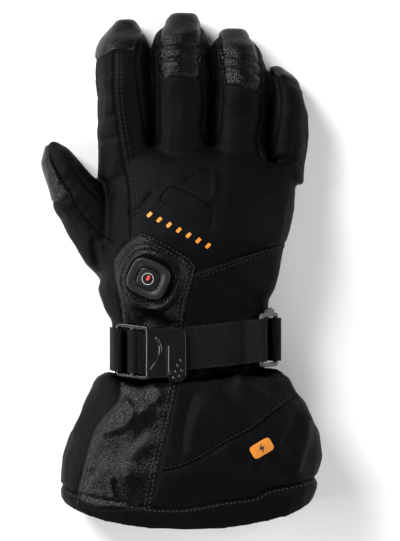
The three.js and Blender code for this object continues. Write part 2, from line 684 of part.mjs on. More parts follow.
// Height of the back above (x, y), found on the section through y
function backHeight(x, y, grow) {
  const section = bodySection(y, false);
  const waist = mix(section.bottom, section.top, WAIST);
  const across = Math.min(Math.abs(x - section.centre) / (section.width / 2 + grow), 1);
  return waist + (section.top + grow - waist) * (1 - across ** ROUND_TOP) ** (1 / ROUND_TOP);
}

// A frame that lies on the back of the body, its Z along the surface normal
function seatFrame(x, y, grow, turn) {
  const step = 2;
  const dx = (backHeight(x + step, y, grow) - backHeight(x - step, y, grow)) / (2 * step);
  const dy = (backHeight(x, y + step, grow) - backHeight(x, y - step, grow)) / (2 * step);
  const normal = new THREE.Vector3(-dx, -dy, 1).normalize();
  const side = new THREE.Vector3(1, 0, dx).normalize();
  const up = new THREE.Vector3().crossVectors(normal, side);
  const frame = new THREE.Matrix4().makeBasis(side, up, normal).setPosition(x, y, backHeight(x, y, grow));
  return frame.multiply(new THREE.Matrix4().makeRotationZ(degrees(turn)));
}

const padX = PAD_PLACE.x * HAND_WIDTH;
const padY = PAD_PLACE.y * HAND_LENGTH;
const padFrame = seatFrame(padX, padY, GAP + LEATHER, -PAD_TURN);

function rounded(width, height, radius) {
  const shape = new THREE.Shape();
  const [w, h] = [width / 2 - radius, height / 2 - radius];
  shape.absarc(w, h, radius, 0, Math.PI / 2);
  shape.absarc(-w, h, radius, Math.PI / 2, Math.PI);
  shape.absarc(-w, -h, radius, Math.PI, 1.5 * Math.PI);
  shape.absarc(w, -h, radius, 1.5 * Math.PI, 2 * Math.PI);
  return shape;
}

function plate(shape, from, to, frame, bevel = 0, segments = 2) {
  const options = { depth: to - from - 2 * bevel, curveSegments: segments, bevelEnabled: bevel > 0 };
  Object.assign(options, { bevelThickness: bevel, bevelSize: bevel, bevelOffset: -bevel, bevelSegments: 1 });
  const geometry = joined(new THREE.ExtrudeGeometry(shape, options));
  geometry.translate(0, 0, from + bevel);
  if (frame) geometry.applyMatrix4(frame);
  return geometry;
}

// Leather panel from the hem to the back of the hand, with a padded rim and a flat seat for the control pad
function cuffLeather() {
  const upper = PANEL_UPPER.map((p) => ({ x: p.x * HAND_WIDTH, y: p.y * HAND_LENGTH }));
  const lower = PANEL_LOWER.map((p) => ({ x: p.x * CUFF_WIDTH, y: p.y * CUFF_LENGTH }));
  const region = toSolid(prism([...upper, ...lower].reverse(), WRIST_HEIGHT * WAIST, REACH));
  const layer = bodyLeather.subtract(bodyGap).intersect(region);
  const deep = -4 * RIM_THICKNESS;
  const [seatWidth, seatLength] = [PAD_WIDTH + 2 * SEAT_MARGIN, PAD_LENGTH + 2 * SEAT_MARGIN];
  const rim = rounded(RIM_WIDTH, RIM_LENGTH, RIM_CORNER);
  rim.holes.push(rounded(seatWidth, seatLength, SEAT_CORNER));
  const rimSolid = toSolid(plate(rim, deep, RIM_THICKNESS, padFrame, RIM_EDGE));
  const seat = rounded(seatWidth + LEATHER, seatLength + LEATHER, SEAT_CORNER);
  const seatSolid = toSolid(plate(seat, deep, SEAT_RISE, padFrame));
  return layer.add(rimSolid.add(seatSolid).subtract(bodyGap));
}

const WELL_FLOOR = PAD_THICKNESS + BUTTON_PROUD - BUTTON_THICKNESS;
function controlPad() {
  const base = SEAT_RISE + GAP;
  const outline = rounded(PAD_WIDTH, PAD_LENGTH, PAD_CORNER);
  const body = toSolid(plate(outline, base, base + PAD_THICKNESS, padFrame, PAD_EDGE));
  const well = rounded(
    BUTTON_WIDTH + 2 * BUTTON_CLEARANCE,
    BUTTON_LENGTH + 2 * BUTTON_CLEARANCE,
    BUTTON_CORNER + BUTTON_CLEARANCE,
  );
  const depth = toSolid(plate(well, base + WELL_RISE, base + 2 * PAD_THICKNESS, padFrame));
  return body.subtract(depth);
}

function powerButton() {
  const low = SEAT_RISE + GAP + WELL_FLOOR;
  const outline = rounded(BUTTON_WIDTH, BUTTON_LENGTH, BUTTON_CORNER);
  return toSolid(plate(outline, low, low + BUTTON_THICKNESS, padFrame, BUTTON_EDGE));
}

// Flat webbing: a band of one thickness along a path in the XZ plane, as wide as the webbing
function webbing(path) {
  const normals = path.map((point, i) => {
    const before = path[Math.max(i - 1, 0)];
    const after = path[Math.min(i + 1, path.length - 1)];
    return new THREE.Vector2(before.y - after.y, after.x - before.x).normalize();
  });
  const side = (sign) => path.map((p, i) => p.clone().addScaledVector(normals[i], sign * WEBBING / 2));
  const shape = new THREE.Shape([...side(1), ...side(-1).reverse()]);
  const options = { depth: WEBBING_WIDTH, bevelEnabled: false };
  const geometry = joined(new THREE.ExtrudeGeometry(shape, options));
  geometry.translate(0, 0, -WEBBING_WIDTH / 2);
  geometry.rotateX(Math.PI / 2);
  return alongCourse(geometry);
}

// Webbing and hardware follow the course of the strap, which climbs towards the outer side of the hand
function alongCourse(geometry) {
  const points = geometry.attributes.position;
  for (let i = 0; i < points.count; i += 1) points.setY(i, points.getY(i) + strapRise(points.getX(i)));
  return geometry;
}

const wrist = bodySection(0, false);
const wristPoint = (side, grow) => {
  const point = sectionPoint(wrist, degrees(side), grow);
  return new THREE.Vector2(point.x, point.z);
};
// Height of the webbing's middle above the shell: over the leather at the left, on the shell at the right
const panelRight = PANEL_UPPER[PANEL_UPPER.length - 1].x * HAND_WIDTH;
function strapLift(side) {
  const past = (wristPoint(side, 0).x - panelRight) / WEBBING_WIDTH;
  const share = Math.min(Math.max(past, 0), 1);
  return GAP + WEBBING / 2 + mix(LEATHER + GAP, 0, share * share * (3 - 2 * share));
}

// Frame of a piece on the wrist section at an angle round it: x along the strap, y out of the surface
function wristFrame(side, grow) {
  const origin = wristPoint(side, grow);
  const along = wristPoint(side - SIDE_STEP, grow).sub(wristPoint(side + SIDE_STEP, grow)).normalize();
  const out = new THREE.Vector2(-along.y, along.x);
  const at = (x, y) => origin.clone().addScaledVector(along, x).addScaledVector(out, y);
  return { origin, along, out, at };
}

const HARDWARE_LIFT = BUCKLE_THICKNESS / 2 + WEBBING + 2 * GAP;
const buckleFrame = wristFrame(BUCKLE_SIDE, LEATHER + GAP + HARDWARE_LIFT + GAP);
const clipFrame = wristFrame(CLIP_SIDE, HARDWARE_LIFT + 2 * GAP);
const barX = (BUCKLE_LENGTH - BAR) / 2;
const clipBarX = (CLIP_LENGTH - BAR) / 2;

// Webbing bent round a bar that stands at centre in a wrist frame
const WRAP = BUCKLE_THICKNESS / 2 + GAP + WEBBING / 2 + BAR_CLEARANCE;
function arc(frame, centre, from, to, steps) {
  const list = [];
  for (let i = 0; i <= steps; i += 1) {
    const a = degrees(mix(from, to, i / steps));
    list.push(frame.at(centre + WRAP * Math.cos(a), WRAP * Math.sin(a)));
  }
  return list;
}

// Webbing laid on the wrist between two sides, its middle lifted off the surface
function onWrist(from, to, steps, lift) {
  const list = [];
  for (let i = 0; i <= steps; i += 1) {
    const side = mix(from, to, i / steps);
    list.push(wristPoint(side, lift(side)));
  }
  return list;
}

// Main strap: round the middle bar of the buckle, over the back of the wrist, round the inner bar of the clip
function wristStrap() {
  const start = arc(buckleFrame, 0, 190, 10, 8);
  const end = arc(clipFrame, -clipBarX, 170, -10, 8);
  const middle = onWrist(BUCKLE_SIDE - BUCKLE_LEAVE, CLIP_SIDE + CLIP_LEAVE, 12, strapLift);
  return webbing([...start, ...middle, ...end]);
}

function buckleLoop() {
  const bar = arc(buckleFrame, -barX, -10, 200, 9);
  const path = onWrist(BUCKLE_SIDE + BUCKLE_RETURN, BUCKLE_LOOP_END, 4, () => GAP + WEBBING / 2);
  return webbing([...path.reverse(), ...bar.reverse()]);
}

function clipLoop() {
  const bar = arc(clipFrame, clipBarX, 190, -30, 9);
  const path = onWrist(CLIP_SIDE - CLIP_RETURN, CLIP_LOOP_END, 3, () => GAP + WEBBING / 2);
  return webbing([...bar, ...path]);
}

// A flat piece drawn in the plane of a wrist frame: x along the strap, y along the glove
function frameMatrix(frame) {
  const x = new THREE.Vector3(frame.along.x, 0, frame.along.y);
  const z = new THREE.Vector3(frame.out.x, 0, frame.out.y);
  const y = new THREE.Vector3().crossVectors(z, x);
  return new THREE.Matrix4().makeBasis(x, y, z).setPosition(frame.origin.x, 0, frame.origin.y);
}

// A flat frame with a window between each two of its bars
function windowed(length, bars, radius, frame) {
  const half = BUCKLE_THICKNESS / 2;
  const outline = rounded(length, HARDWARE_HEIGHT, radius);
  const outer = toSolid(alongCourse(plate(outline, -half, half, frame, HARDWARE_EDGE)));
  const windows = bars.slice(1).map((bar, i) => {
    const wide = bar - bars[i] - BAR;
    const shape = rounded(wide, HARDWARE_HEIGHT - 2 * BAR, WINDOW_CORNER);
    const place = frame.clone().multiply(new THREE.Matrix4().makeTranslation((bar + bars[i]) / 2, 0, 0));
    return toSolid(alongCourse(plate(shape, -2 * half, 2 * half, place)));
  });
  return outer.subtract(union(windows));
}

const outlined = (rows, length, height) => new THREE.Shape(
  rows.map((row) => new THREE.Vector2(row.x * length, row.y * height)),
);

// Ladder buckle with three bars and a pull tab that lies along the strap
function ladderBuckle() {
  const half = BUCKLE_THICKNESS / 2;
  const body = windowed(BUCKLE_LENGTH, [-barX, 0, barX], FRAME_CORNER, frameMatrix(buckleFrame));
  const tab = outlined(TAB_OUTLINE, TAB_LENGTH, HARDWARE_HEIGHT);
  const hinge = buckleFrame.at(barX, 0);
  const target = wristPoint(BUCKLE_SIDE - TAB_REST, GAP + LEATHER + 2 * GAP + WEBBING + half);
  const tilt = Math.atan2(target.y - hinge.y, target.x - hinge.x);
  const lie = new THREE.Matrix4()
    .makeTranslation(hinge.x, 0, hinge.y)
    .multiply(new THREE.Matrix4().makeRotationY(-tilt));
  const tabGeometry = plate(tab, -half, half, lie, HARDWARE_EDGE);
  return body.add(toSolid(alongCourse(tabGeometry)));
}

// Side clip: a loop with two bars and a small hook at its upper end
function sideClip() {
  const half = BUCKLE_THICKNESS / 2;
  const frame = frameMatrix(clipFrame);
  const body = windowed(CLIP_LENGTH, [-clipBarX, clipBarX], CLIP_CORNER, frame);
  const hook = outlined(HOOK_OUTLINE, CLIP_LENGTH, BAR);
  const raise = new THREE.Matrix4().makeTranslation(0, HARDWARE_HEIGHT / 2 - BAR / 2, 0);
  const hookGeometry = plate(hook, -half, half, frame.clone().multiply(raise));
  return body.add(toSolid(alongCourse(hookGeometry)));
}

const MATERIALS = {
  softshell: { color: 0x17181b, roughness: 0.92 },
  leather: { color: 0x1c1d1f, roughness: 0.55 },
  webbing: { color: 0x101113, roughness: 0.85 },
  plastic: { color: 0x08090a, roughness: 0.25 },
  pad: { color: 0x141517, roughness: 0.6 },
};

const PIECES = [
  ['hand_shell', handShell, 'softshell'],
  ['thumb', thumbNode, 'softshell'],
  ...FINGERS.map((finger, i) => [`${finger.name}_finger`, () => fingerNode(i), 'softshell']),
  ['gauntlet', gauntlet, 'softshell'],
  ['hem_band', hemBand, 'softshell'],
  ['palm_leather', palmLeather, 'leather'],
  ...FINGERS.map((finger, i) => [`${finger.name}_cap`, () => capLeather(i), 'leather']),
  ['thumb_patch', thumbPatch, 'leather'],
  ['cuff_leather', cuffLeather, 'leather'],
  ['control_pad', controlPad, 'pad'],
  ['power_button', powerButton, 'plastic'],
  ['wrist_strap', () => toSolid(wristStrap()), 'webbing'],
  ['buckle_loop', () => toSolid(buckleLoop()), 'webbing'],
  ['ladder_buckle', ladderBuckle, 'plastic'],
  ['clip_loop', () => toSolid(clipLoop()), 'webbing'],
  ['side_clip', sideClip, 'plastic'],
];

const glove = new THREE.Group();
glove.name = 'heated_glove';
const bounds = new THREE.Box3();
for (const [name, make, material] of PIECES) {
  const geometry = toGeometry(make());
  const finish = new THREE.MeshStandardMaterial({ ...MATERIALS[material], metalness: 0 });
  const mesh = new THREE.Mesh(geometry, finish);
  mesh.name = name;
  geometry.computeBoundingBox();
  bounds.union(geometry.boundingBox);
  glove.add(mesh);
}
// The origin is the middle of the footprint, on the surface that the glove lies on
const middle = bounds.getCenter(new THREE.Vector3());
for (const mesh of glove.children) mesh.position.set(-middle.x, -middle.y, -bounds.min.z);

export default glove;
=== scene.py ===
import json
import math

import bmesh
import bpy
import numpy as np
from mathutils import Matrix, Vector, noise
from mathutils.bvhtree import BVHTree
from mathutils.kdtree import KDTree


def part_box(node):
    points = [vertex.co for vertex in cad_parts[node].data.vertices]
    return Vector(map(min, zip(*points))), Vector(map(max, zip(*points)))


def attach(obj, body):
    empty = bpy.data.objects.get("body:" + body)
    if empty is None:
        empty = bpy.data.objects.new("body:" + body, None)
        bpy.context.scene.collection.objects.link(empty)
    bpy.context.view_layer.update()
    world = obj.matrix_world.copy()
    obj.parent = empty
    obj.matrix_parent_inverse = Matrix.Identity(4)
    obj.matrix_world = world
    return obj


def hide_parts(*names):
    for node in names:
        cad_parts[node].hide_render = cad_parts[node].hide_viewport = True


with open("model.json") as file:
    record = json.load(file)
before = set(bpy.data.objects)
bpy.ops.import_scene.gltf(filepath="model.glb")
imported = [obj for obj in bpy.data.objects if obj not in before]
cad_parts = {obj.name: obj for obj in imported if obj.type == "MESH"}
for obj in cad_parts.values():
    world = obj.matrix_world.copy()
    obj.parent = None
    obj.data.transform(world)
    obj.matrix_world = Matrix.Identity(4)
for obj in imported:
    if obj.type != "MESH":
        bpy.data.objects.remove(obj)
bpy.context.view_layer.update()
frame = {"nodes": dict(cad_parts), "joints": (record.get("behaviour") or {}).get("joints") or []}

bl_info = {
    "name": "Heated glove",
    "version": (1, 0, 0),
    "blender": (4, 5, 0),
    "location": "View3D > Sidebar > Glove",
    "description": "Builds the soft pieces, trim and stage of a heated winter glove over its fixed frame",
    "category": "Object",
}

MM = 0.001
BODY = "glove"

# The photograph looks straight down, so one scale turns its pixels into metres
PIXEL = 0.58 * MM
CENTRE_PIXEL = (179.5, 268.1)
PHOTO_SIZE = (400, 541)

SHELL_NODES = ("hand_shell", "gauntlet", "hem_band", "thumb", "index_finger", "middle_finger", "ring_finger",
               "little_finger")

# Seams of the softshell in photo pixels
SEAMS = {
    "index_back": [(114, 53), (114, 92), (116, 112), (120, 138), (124, 162), (129.5, 194), (131, 236)],
    "index_side": [(143, 28), (138, 45), (137, 71), (140, 97), (142, 110), (145, 133), (148, 143)],
    "middle_left": [(165, 17), (160.6, 33), (158.6, 48), (158.4, 82), (159, 133), (157, 143)],
    "middle_right": [(200, 16), (201, 61), (204, 102), (203.5, 117), (201.4, 130), (207.6, 146)],
    "ring_left": [(219, 38), (221, 57), (223, 86), (222, 117), (219, 138)],
    "ring_right": [(249, 31), (257, 48), (261, 71), (262, 92), (261, 120), (257, 135), (259, 153),
                   (264, 161)],
    "little_left": [(279, 79), (281.5, 98), (281, 115), (279, 124), (275, 143), (271, 157)],
    "thumb_inner": [(49, 155), (58, 172), (67, 187), (81, 212), (90, 223), (99, 233), (113, 242)],
    "thumb_outer": [(70, 160), (77, 173), (86, 186), (103, 203)],
    "wrist_split": [(196, 272), (220, 263.5), (244, 255), (289, 242)],
    "pocket": [(165, 468), (180, 465), (203, 455), (226, 441), (249, 429), (272, 412), (293, 397)],
}
# Rows of stitches beside a seam, as distances to its left in millimetres
SEAM_ROWS = {"index_back": (2.0, 4.4), "wrist_split": (-1.6, -3.4), "pocket": (1.5,)}
# Dents (below 0) and ridges of the cloth in photo pixels, with depth and half width in millimetres
FOLDS = {
    "under_clip": {"line": [(250, 368), (262, 371), (282, 374)], "depth": -3.0, "width": 2.2},
    "clip_ridge": {"line": [(234, 370), (242, 381), (254, 389), (263, 395)], "depth": 1.6, "width": 2.2},
    "cuff_valley": {"line": [(190, 400), (184, 425), (182, 445)], "depth": -2.4, "width": 3.4},
    "cuff_right": {"line": [(307, 420), (302, 443), (295, 466)], "depth": 2.0, "width": 3.0},
    "cuff_right_dent": {"line": [(297, 418), (290, 440)], "depth": -2.0, "width": 3.0},
    "strap_hollow": {"line": [(148, 317), (158, 321), (166, 327)], "depth": -2.4, "width": 3.4},
    "leather_ridge": {"line": [(128, 402), (134, 412), (126, 424), (106, 431)], "depth": 1.3, "width": 2.6},
    "leather_ridge_right": {"line": [(152, 384), (159, 395), (145, 409)], "depth": 1.1, "width": 2.8},
    "leather_hollow": {"line": [(134, 440), (142, 430)], "depth": -1.5, "width": 3.8},
    "leather_small_hollow": {"line": [(90, 474), (95, 470)], "depth": -0.6, "width": 3.0},
    "leather_low_ridge": {"line": [(112, 478), (115, 494)], "depth": 1.1, "width": 2.0},
    "thumb_root_a": {"line": [(93, 243), (96, 264)], "depth": -2.0, "width": 2.0},
    "thumb_root_b": {"line": [(102, 246), (105, 262)], "depth": 1.4, "width": 2.0},
    "little_crease": {"line": [(270, 164), (284, 159), (302, 164)], "depth": -2.2, "width": 1.9},
    "little_pucker": {"line": [(294, 150), (300, 147)], "depth": 1.3, "width": 1.6},
    "hand_fold": {"line": [(132, 214), (141, 208), (152, 194)], "depth": -1.1, "width": 2.0},
    "index_rib_a": {"line": [(95, 76), (108, 74)], "depth": -0.9, "width": 1.7},
    "index_rib_b": {"line": [(95, 96), (110, 95)], "depth": -0.8, "width": 1.7},
    "index_rib_c": {"line": [(96, 120), (112, 117)], "depth": -0.8, "width": 1.8},
    "index_rib_d": {"line": [(98, 141), (114, 138)], "depth": -0.7, "width": 1.8},
    "middle_pleat_a": {"line": [(158, 48), (180, 46.5), (203, 48.5)], "depth": -1.2, "width": 1.1},
    "middle_pleat_b": {"line": [(158, 61), (180, 59), (203, 61)], "depth": -1.2, "width": 1.2},
    "ring_pleat": {"line": [(220, 56), (233, 56), (261, 64)], "depth": -1.2, "width": 1.2},
    "ring_pleat_low": {"line": [(221, 70), (234, 70), (262, 77)], "depth": -0.8, "width": 1.2},
    "knuckle_shine": {"line": [(215.6, 177), (214.5, 194)], "depth": 0.7, "width": 1.6},
}
# Small swellings of the whole wall in photo pixels, in millimetres
BULGES = {
    "cuff_left": {"at": (107, 380), "radius": 6.5, "height": 3.6},
    "cuff_right": {"at": (279, 367), "radius": 4.5, "height": 2.2},
}
# Cloth gathered in the crotch of the thumb: place in photo pixels, height and half sizes in millimetres
FILLINGS = ({"at": (100, 190), "z": 14, "size": (4.5, 6.5, 7)},)
# Embossed lines on the back of the hand in photo pixels
EMBOSSED = {
    "knuckle_top": [(161, 198), (173, 187), (197, 198), (211, 207.5)],
    "knuckle_low": [(162, 201), (186, 213), (211, 226)],
    "knuckle_side": [(213.5, 210), (211, 226)],
    "knuckle_small_a": [(185, 180), (195, 175)],
    "knuckle_small_b": [(201, 170), (209, 170)],
}
# Leather regions in photo pixels; the palm leather is everything below a height
PANEL = [(124, 245), (142, 232), (180.5, 251), (196, 264), (194.5, 277), (188, 296), (184, 321),
         (177, 387), (168, 426), (160, 462), (152, 506), (74, 506), (85, 462), (89, 446), (95, 427),
         (104, 415), (120, 398), (121, 380), (123, 345), (124, 320), (118, 291), (115, 277), (113.5, 261),
         (114, 258)]
CAPS = {
    "index_cap": [(84, 6), (150, 6), (150, 20), (143.5, 27.5), (138, 45), (136, 51), (121, 50.5), (114, 52),
                  (84, 63)],
    "middle_cap": [(155, 0), (210, 0), (201, 16), (200.6, 61), (202, 79.6), (182, 76.5), (159, 79),
                   (158.5, 48), (160.6, 33), (165, 17)],
    "ring_cap": [(212, 12), (262, 12), (249, 31), (257, 48), (260, 64), (261, 94), (246, 88), (232, 85),
                 (223.5, 85.5), (221, 57), (219, 38)],
    "little_cap": [(262, 52), (312, 52), (312, 90), (301, 87), (294, 80.5), (285, 77), (278, 77), (271, 73)],
    "thumb_patch": [(30, 140), (47, 140), (50, 156), (54, 168), (66, 187), (71, 190), (70, 200), (40, 203)],
}
# Points of each cap outline that its stitched edge runs along
CAP_EDGES = {"index_cap": (5, 9), "middle_cap": (4, 7), "ring_cap": (5, 9), "little_cap": (3, 7)}
THUMB_BAND = [(51, 188), (60, 189), (69, 187)]
PALM_HEIGHT = 7.0 * MM
PALM_END_PIXEL = 316.0
HEM_SEAM = [(40, 482), (63, 485), (77, 492), (101, 497), (132, 501), (158, 505), (183, 505), (203, 502),
            (220, 498.5), (254, 494), (268, 487), (295, 482), (317, 477), (340, 474)]
SPLIT_SEAM = [(70, 314), (97, 303), (120, 295.5), (200, 270), (244, 255), (289, 242), (320, 233)]

# Control pad, in metres, and its turn on the leather in degrees
PAD_SIZE = (24 * MM, 21 * MM)
BUTTON_SIZE = (12.5 * MM, 11.5 * MM)
PAD_TURN = -25
KEY_HEIGHT = 2.1 * MM
KEY_RISE = 0.6 * MM
KEY_EDGE = 0.6 * MM
PAD_HEIGHT = 3.2 * MM
PAD_EDGE = 0.8 * MM
WELL_GAP = 0.3 * MM
WELL_DEPTH = 2.6 * MM
RING_RADII = (3.5 * MM, 3.1 * MM)
LAMP_RADII = (0.7 * MM, 1.5 * MM, 0.08 * MM)
RIM_RADII = (18.6 * MM, 18.2 * MM)
SEAT_DEPTH = 4.2 * MM

WEBBING_WIDTH = 25 * MM
WEBBING_CORD = 1.5 * MM
MOULD_VOXEL = 0.32 * MM
# Raised and sunk lines of the moulded pieces in photo pixels, and the grip studs of the pull tab
TAB_RIDGES = (
    {"line": [(157, 338), (161, 348), (158, 360), (152, 368)], "height": 0.55, "width": 0.7},
    {"line": [(168, 345), (168, 372)], "height": -0.35, "width": 0.6},
)
TAB_STUDS = ((181, 360), (178, 365), (182, 370), (176, 371), (180, 375.5), (174, 377), (170, 372))
CLIP_RIDGES = ({"line": [(277, 325), (283, 355)], "height": -0.4, "width": 0.6},)

# Battery badge and the row of plain marks, in photo pixels, millimetres and degrees
BADGE = {"centre": (261, 446), "size": (13.2, 8.0), "turn": 30}
MARKS = {"start": (150, 215), "end": (208, 246), "size": (2.0, 3.4), "lean": -18}
# Corners of the bolt on the badge, as shares of its half sizes
BOLT = ((0.3, 1.0), (-0.75, -0.15), (-0.1, -0.15), (-0.35, -1.0), (0.75, 0.22), (0.08, 0.22))
BOLT_SCALE = (2.3 * MM, 2.7 * MM)

# Soft lights of the studio: place and width in metres
STUDIO_LIGHTS = {
    "key": {"place": (-0.75, 0.8, 0.75), "width": 0.6},
    "left": {"place": (-1.15, -0.1, 0.5), "width": 0.5},
    "right": {"place": (1.15, 0.2, 0.8), "width": 0.8},
    "near": {"place": (0.25, -1.2, 0.8), "width": 0.8},
}
FLOOR_SIZE = 3.0
CAMERA_RISE = 28 * MM

CLOTH_VOXEL = 4.5 * MM
CLOTH_FRAMES = 20
CLOTH_EXTRA = -0.04
CLOTH_MASS = 0.25
CLOTH_STIFFNESS = 18
CLOTH_BENDING = 0.6
VOXEL = 0.95 * MM
SMOOTH_ROUNDS = 40
MOST_LOST = 2.4 * MM
SKIN = 0.3 * MM
FINGER_NARROWING = 0.9 * MM
JOIN = 1.2 * MM
MERGE = 1e-6
LINING_INSET = 2.6 * MM
FINGER_TOUCH = (8 * MM, 17 * MM)
TOUCH_SHARE = -0.6
CROTCH = 68 * MM


def sizes():
    return bpy.context.scene.glove_sizes


def colours():
    return bpy.context.scene.glove_colours


def spot(pixel):
    """Place in the frame, in metres, of a point of the photograph."""
    return Vector(((pixel[0] - CENTRE_PIXEL[0]) * PIXEL, (CENTRE_PIXEL[1] - pixel[1]) * PIXEL))


def line_of(pixels):
    return np.array([spot(p) for p in pixels])


def soft_outline(pixels, rounds=2):
    """A closed outline with its corners rounded off."""
    points = line_of(pixels)
    for _ in range(rounds):
        ahead = np.roll(points, -1, axis=0)
        points = np.stack([points * 0.75 + ahead * 0.25, points * 0.25 + ahead * 0.75], 1).reshape(-1, 2)
    return points


def smooth_line(points, step=1.0 * MM):
    """Even points on a smooth curve through the given ones."""
    points = np.asarray(points, float)
    ends = np.vstack([2 * points[0] - points[1], points, 2 * points[-1] - points[-2]])
    result = []
    for i in range(1, len(ends) - 2):
        a, b, c, d = ends[i - 1], ends[i], ends[i + 1], ends[i + 2]
        count = max(2, int(np.linalg.norm(c - b) / step))
        for u in np.linspace(0, 1, count, endpoint=False):
            result.append(0.5 * (2 * b + (c - a) * u + (2 * a - 5 * b + 4 * c - d) * u ** 2
                                 + (3 * b - a - 3 * c + d) * u ** 3))
    result.append(points[-1])
    return np.array(result)


def along_and_off(xy, line):
    """For points on the plane: distance to a line of points, its sign (left is plus), and length along it."""
    best = np.full(len(xy), 1e9)
    sign = np.zeros(len(xy))
    run = np.zeros(len(xy))
    passed = 0.0
    for a, b in zip(line[:-1], line[1:]):
        step = b - a
        length = float(np.hypot(*step))
        rel = xy - a
        t = np.clip((rel @ step) / max(length ** 2, 1e-18), 0, 1)
        gap = rel - t[:, None] * step
        distance = np.hypot(gap[:, 0], gap[:, 1])
        near = distance < best
        best[near] = distance[near]
        sign[near] = np.sign(step[0] * rel[near, 1] - step[1] * rel[near, 0])
        run[near] = passed + t[near] * length
        passed += length
    return best, sign, run


def inside_distance(xy, outline):
    """Distance to a closed outline, plus inside and minus outside."""
    closed = np.vstack([outline, outline[:1]])
    distance, _, _ = along_and_off(xy, closed)
    inside = np.zeros(len(xy), bool)
    for a, b in zip(closed[:-1], closed[1:]):
        crosses = (a[1] > xy[:, 1]) != (b[1] > xy[:, 1])
        reach = a[0] + (xy[:, 1] - a[1]) * (b[0] - a[0]) / (b[1] - a[1] if b[1] != a[1] else 1e-12)
        inside ^= crosses & (xy[:, 0] < reach)
    return np.where(inside, distance, -distance)


class Maths:
    """A node socket with arithmetic, so that shader formulas read as formulas."""

    def __init__(self, tree, socket):
        self.tree = tree
        self.socket = socket

    def _do(self, operation, *others):
        return self._made(operation, self, *others)

    def _made(self, operation, *values):
        node = self.tree.nodes.new("ShaderNodeMath")
        node.operation = operation
        for place, value in enumerate(values):
            if isinstance(value, Maths):
                self.tree.links.new(value.socket, node.inputs[place])
            else:
                node.inputs[place].default_value = value
        return Maths(self.tree, node.outputs[0])

    def __add__(self, other):
        return self._do("ADD", other)

    def __sub__(self, other):
        return self._do("SUBTRACT", other)

    def __mul__(self, other):
        return self._do("MULTIPLY", other)

    def __truediv__(self, other):
        return self._do("DIVIDE", other)

    def __rsub__(self, other):
        return self._made("SUBTRACT", other, self)

    __radd__ = __add__
    __rmul__ = __mul__

    def sin(self):
        return self._do("SINE")

    def absolute(self):
        return self._do("ABSOLUTE")

    def above(self, other):
        return self._do("GREATER_THAN", other)

    def minimum(self, other):
        return self._do("MINIMUM", other)

    def maximum(self, other):
        return self._do("MAXIMUM", other)


class Finish:
    """A material on one Principled shader, with its helpers."""

    def __init__(self, name, colour, roughness, **constants):
        self.material = bpy.data.materials.new(name)
        self.material.use_nodes = True
        self.tree = self.material.node_tree
        self.shader = self.tree.nodes["Principled BSDF"]
        self.shader.inputs["Base Color"].default_value = (*colour, 1)
        self.shader.inputs["Roughness"].default_value = roughness
        for socket, value in constants.items():
            self.shader.inputs[socket.replace("_", " ")].default_value = value
        self.material.diffuse_color = (*colour, 1)

    def node(self, kind, settings=None, links=None):
        made = self.tree.nodes.new(kind)
        for key, value in (settings or {}).items():
            setattr(made, key, value)
        for key, value in (links or {}).items():
            socket = value.socket if isinstance(value, Maths) else value
            if isinstance(socket, bpy.types.NodeSocket):
                self.tree.links.new(socket, made.inputs[key])
            else:
                made.inputs[key].default_value = value
        return made

    def value(self, socket):
        return Maths(self.tree, socket)

    def place(self):
        """Object coordinates in millimetres."""
        coordinates = self.node("ShaderNodeTexCoord").outputs["Object"]
        scaled = self.node("ShaderNodeVectorMath", {"operation": "SCALE"}, {0: coordinates, "Scale": 1000.0})
        return scaled.outputs[0]

    def axes(self):
        split = self.node("ShaderNodeSeparateXYZ", None, {0: self.place()})
        return [self.value(split.outputs[i]) for i in range(3)]

    def noise(self, scale, detail=3.0, roughness=0.55):
        made = self.node("ShaderNodeTexNoise", None,
                         {"Vector": self.place(), "Scale": scale, "Detail": detail, "Roughness": roughness})
        return self.value(made.outputs["Fac"])

    def cells(self, scale, feature="F1", randomness=1.0):
        made = self.node("ShaderNodeTexVoronoi", {"feature": feature},
                         {"Vector": self.place(), "Scale": scale, "Randomness": randomness})
        return self.value(made.outputs["Distance"])

    def attribute(self, name):
        return self.value(self.node("ShaderNodeAttribute", {"attribute_name": name}).outputs["Fac"])

    def colours(self, share, low, high):
        mix = self.node("ShaderNodeMix", {"data_type": "RGBA"})
        self.tree.links.new(share.socket, mix.inputs[0])
        mix.inputs[6].default_value = (*low, 1)
        mix.inputs[7].default_value = (*high, 1)
        self.tree.links.new(mix.outputs[2], self.shader.inputs["Base Color"])

    def rough(self, value):
        self.tree.links.new(value.socket, self.shader.inputs["Roughness"])

    def bump(self, height, distance):
        """height in its own units, distance in millimetres for one unit."""
        made = self.node("ShaderNodeBump", None,
                         {"Height": height, "Distance": distance * MM, "Strength": 1.0})
        self.tree.links.new(made.outputs[0], self.shader.inputs["Normal"])


def shades(tint, low, high):
    """A darker and a lighter shade of a colour."""
    return tuple(c * low for c in tint), tuple(min(c * high, 1.0) for c in tint)


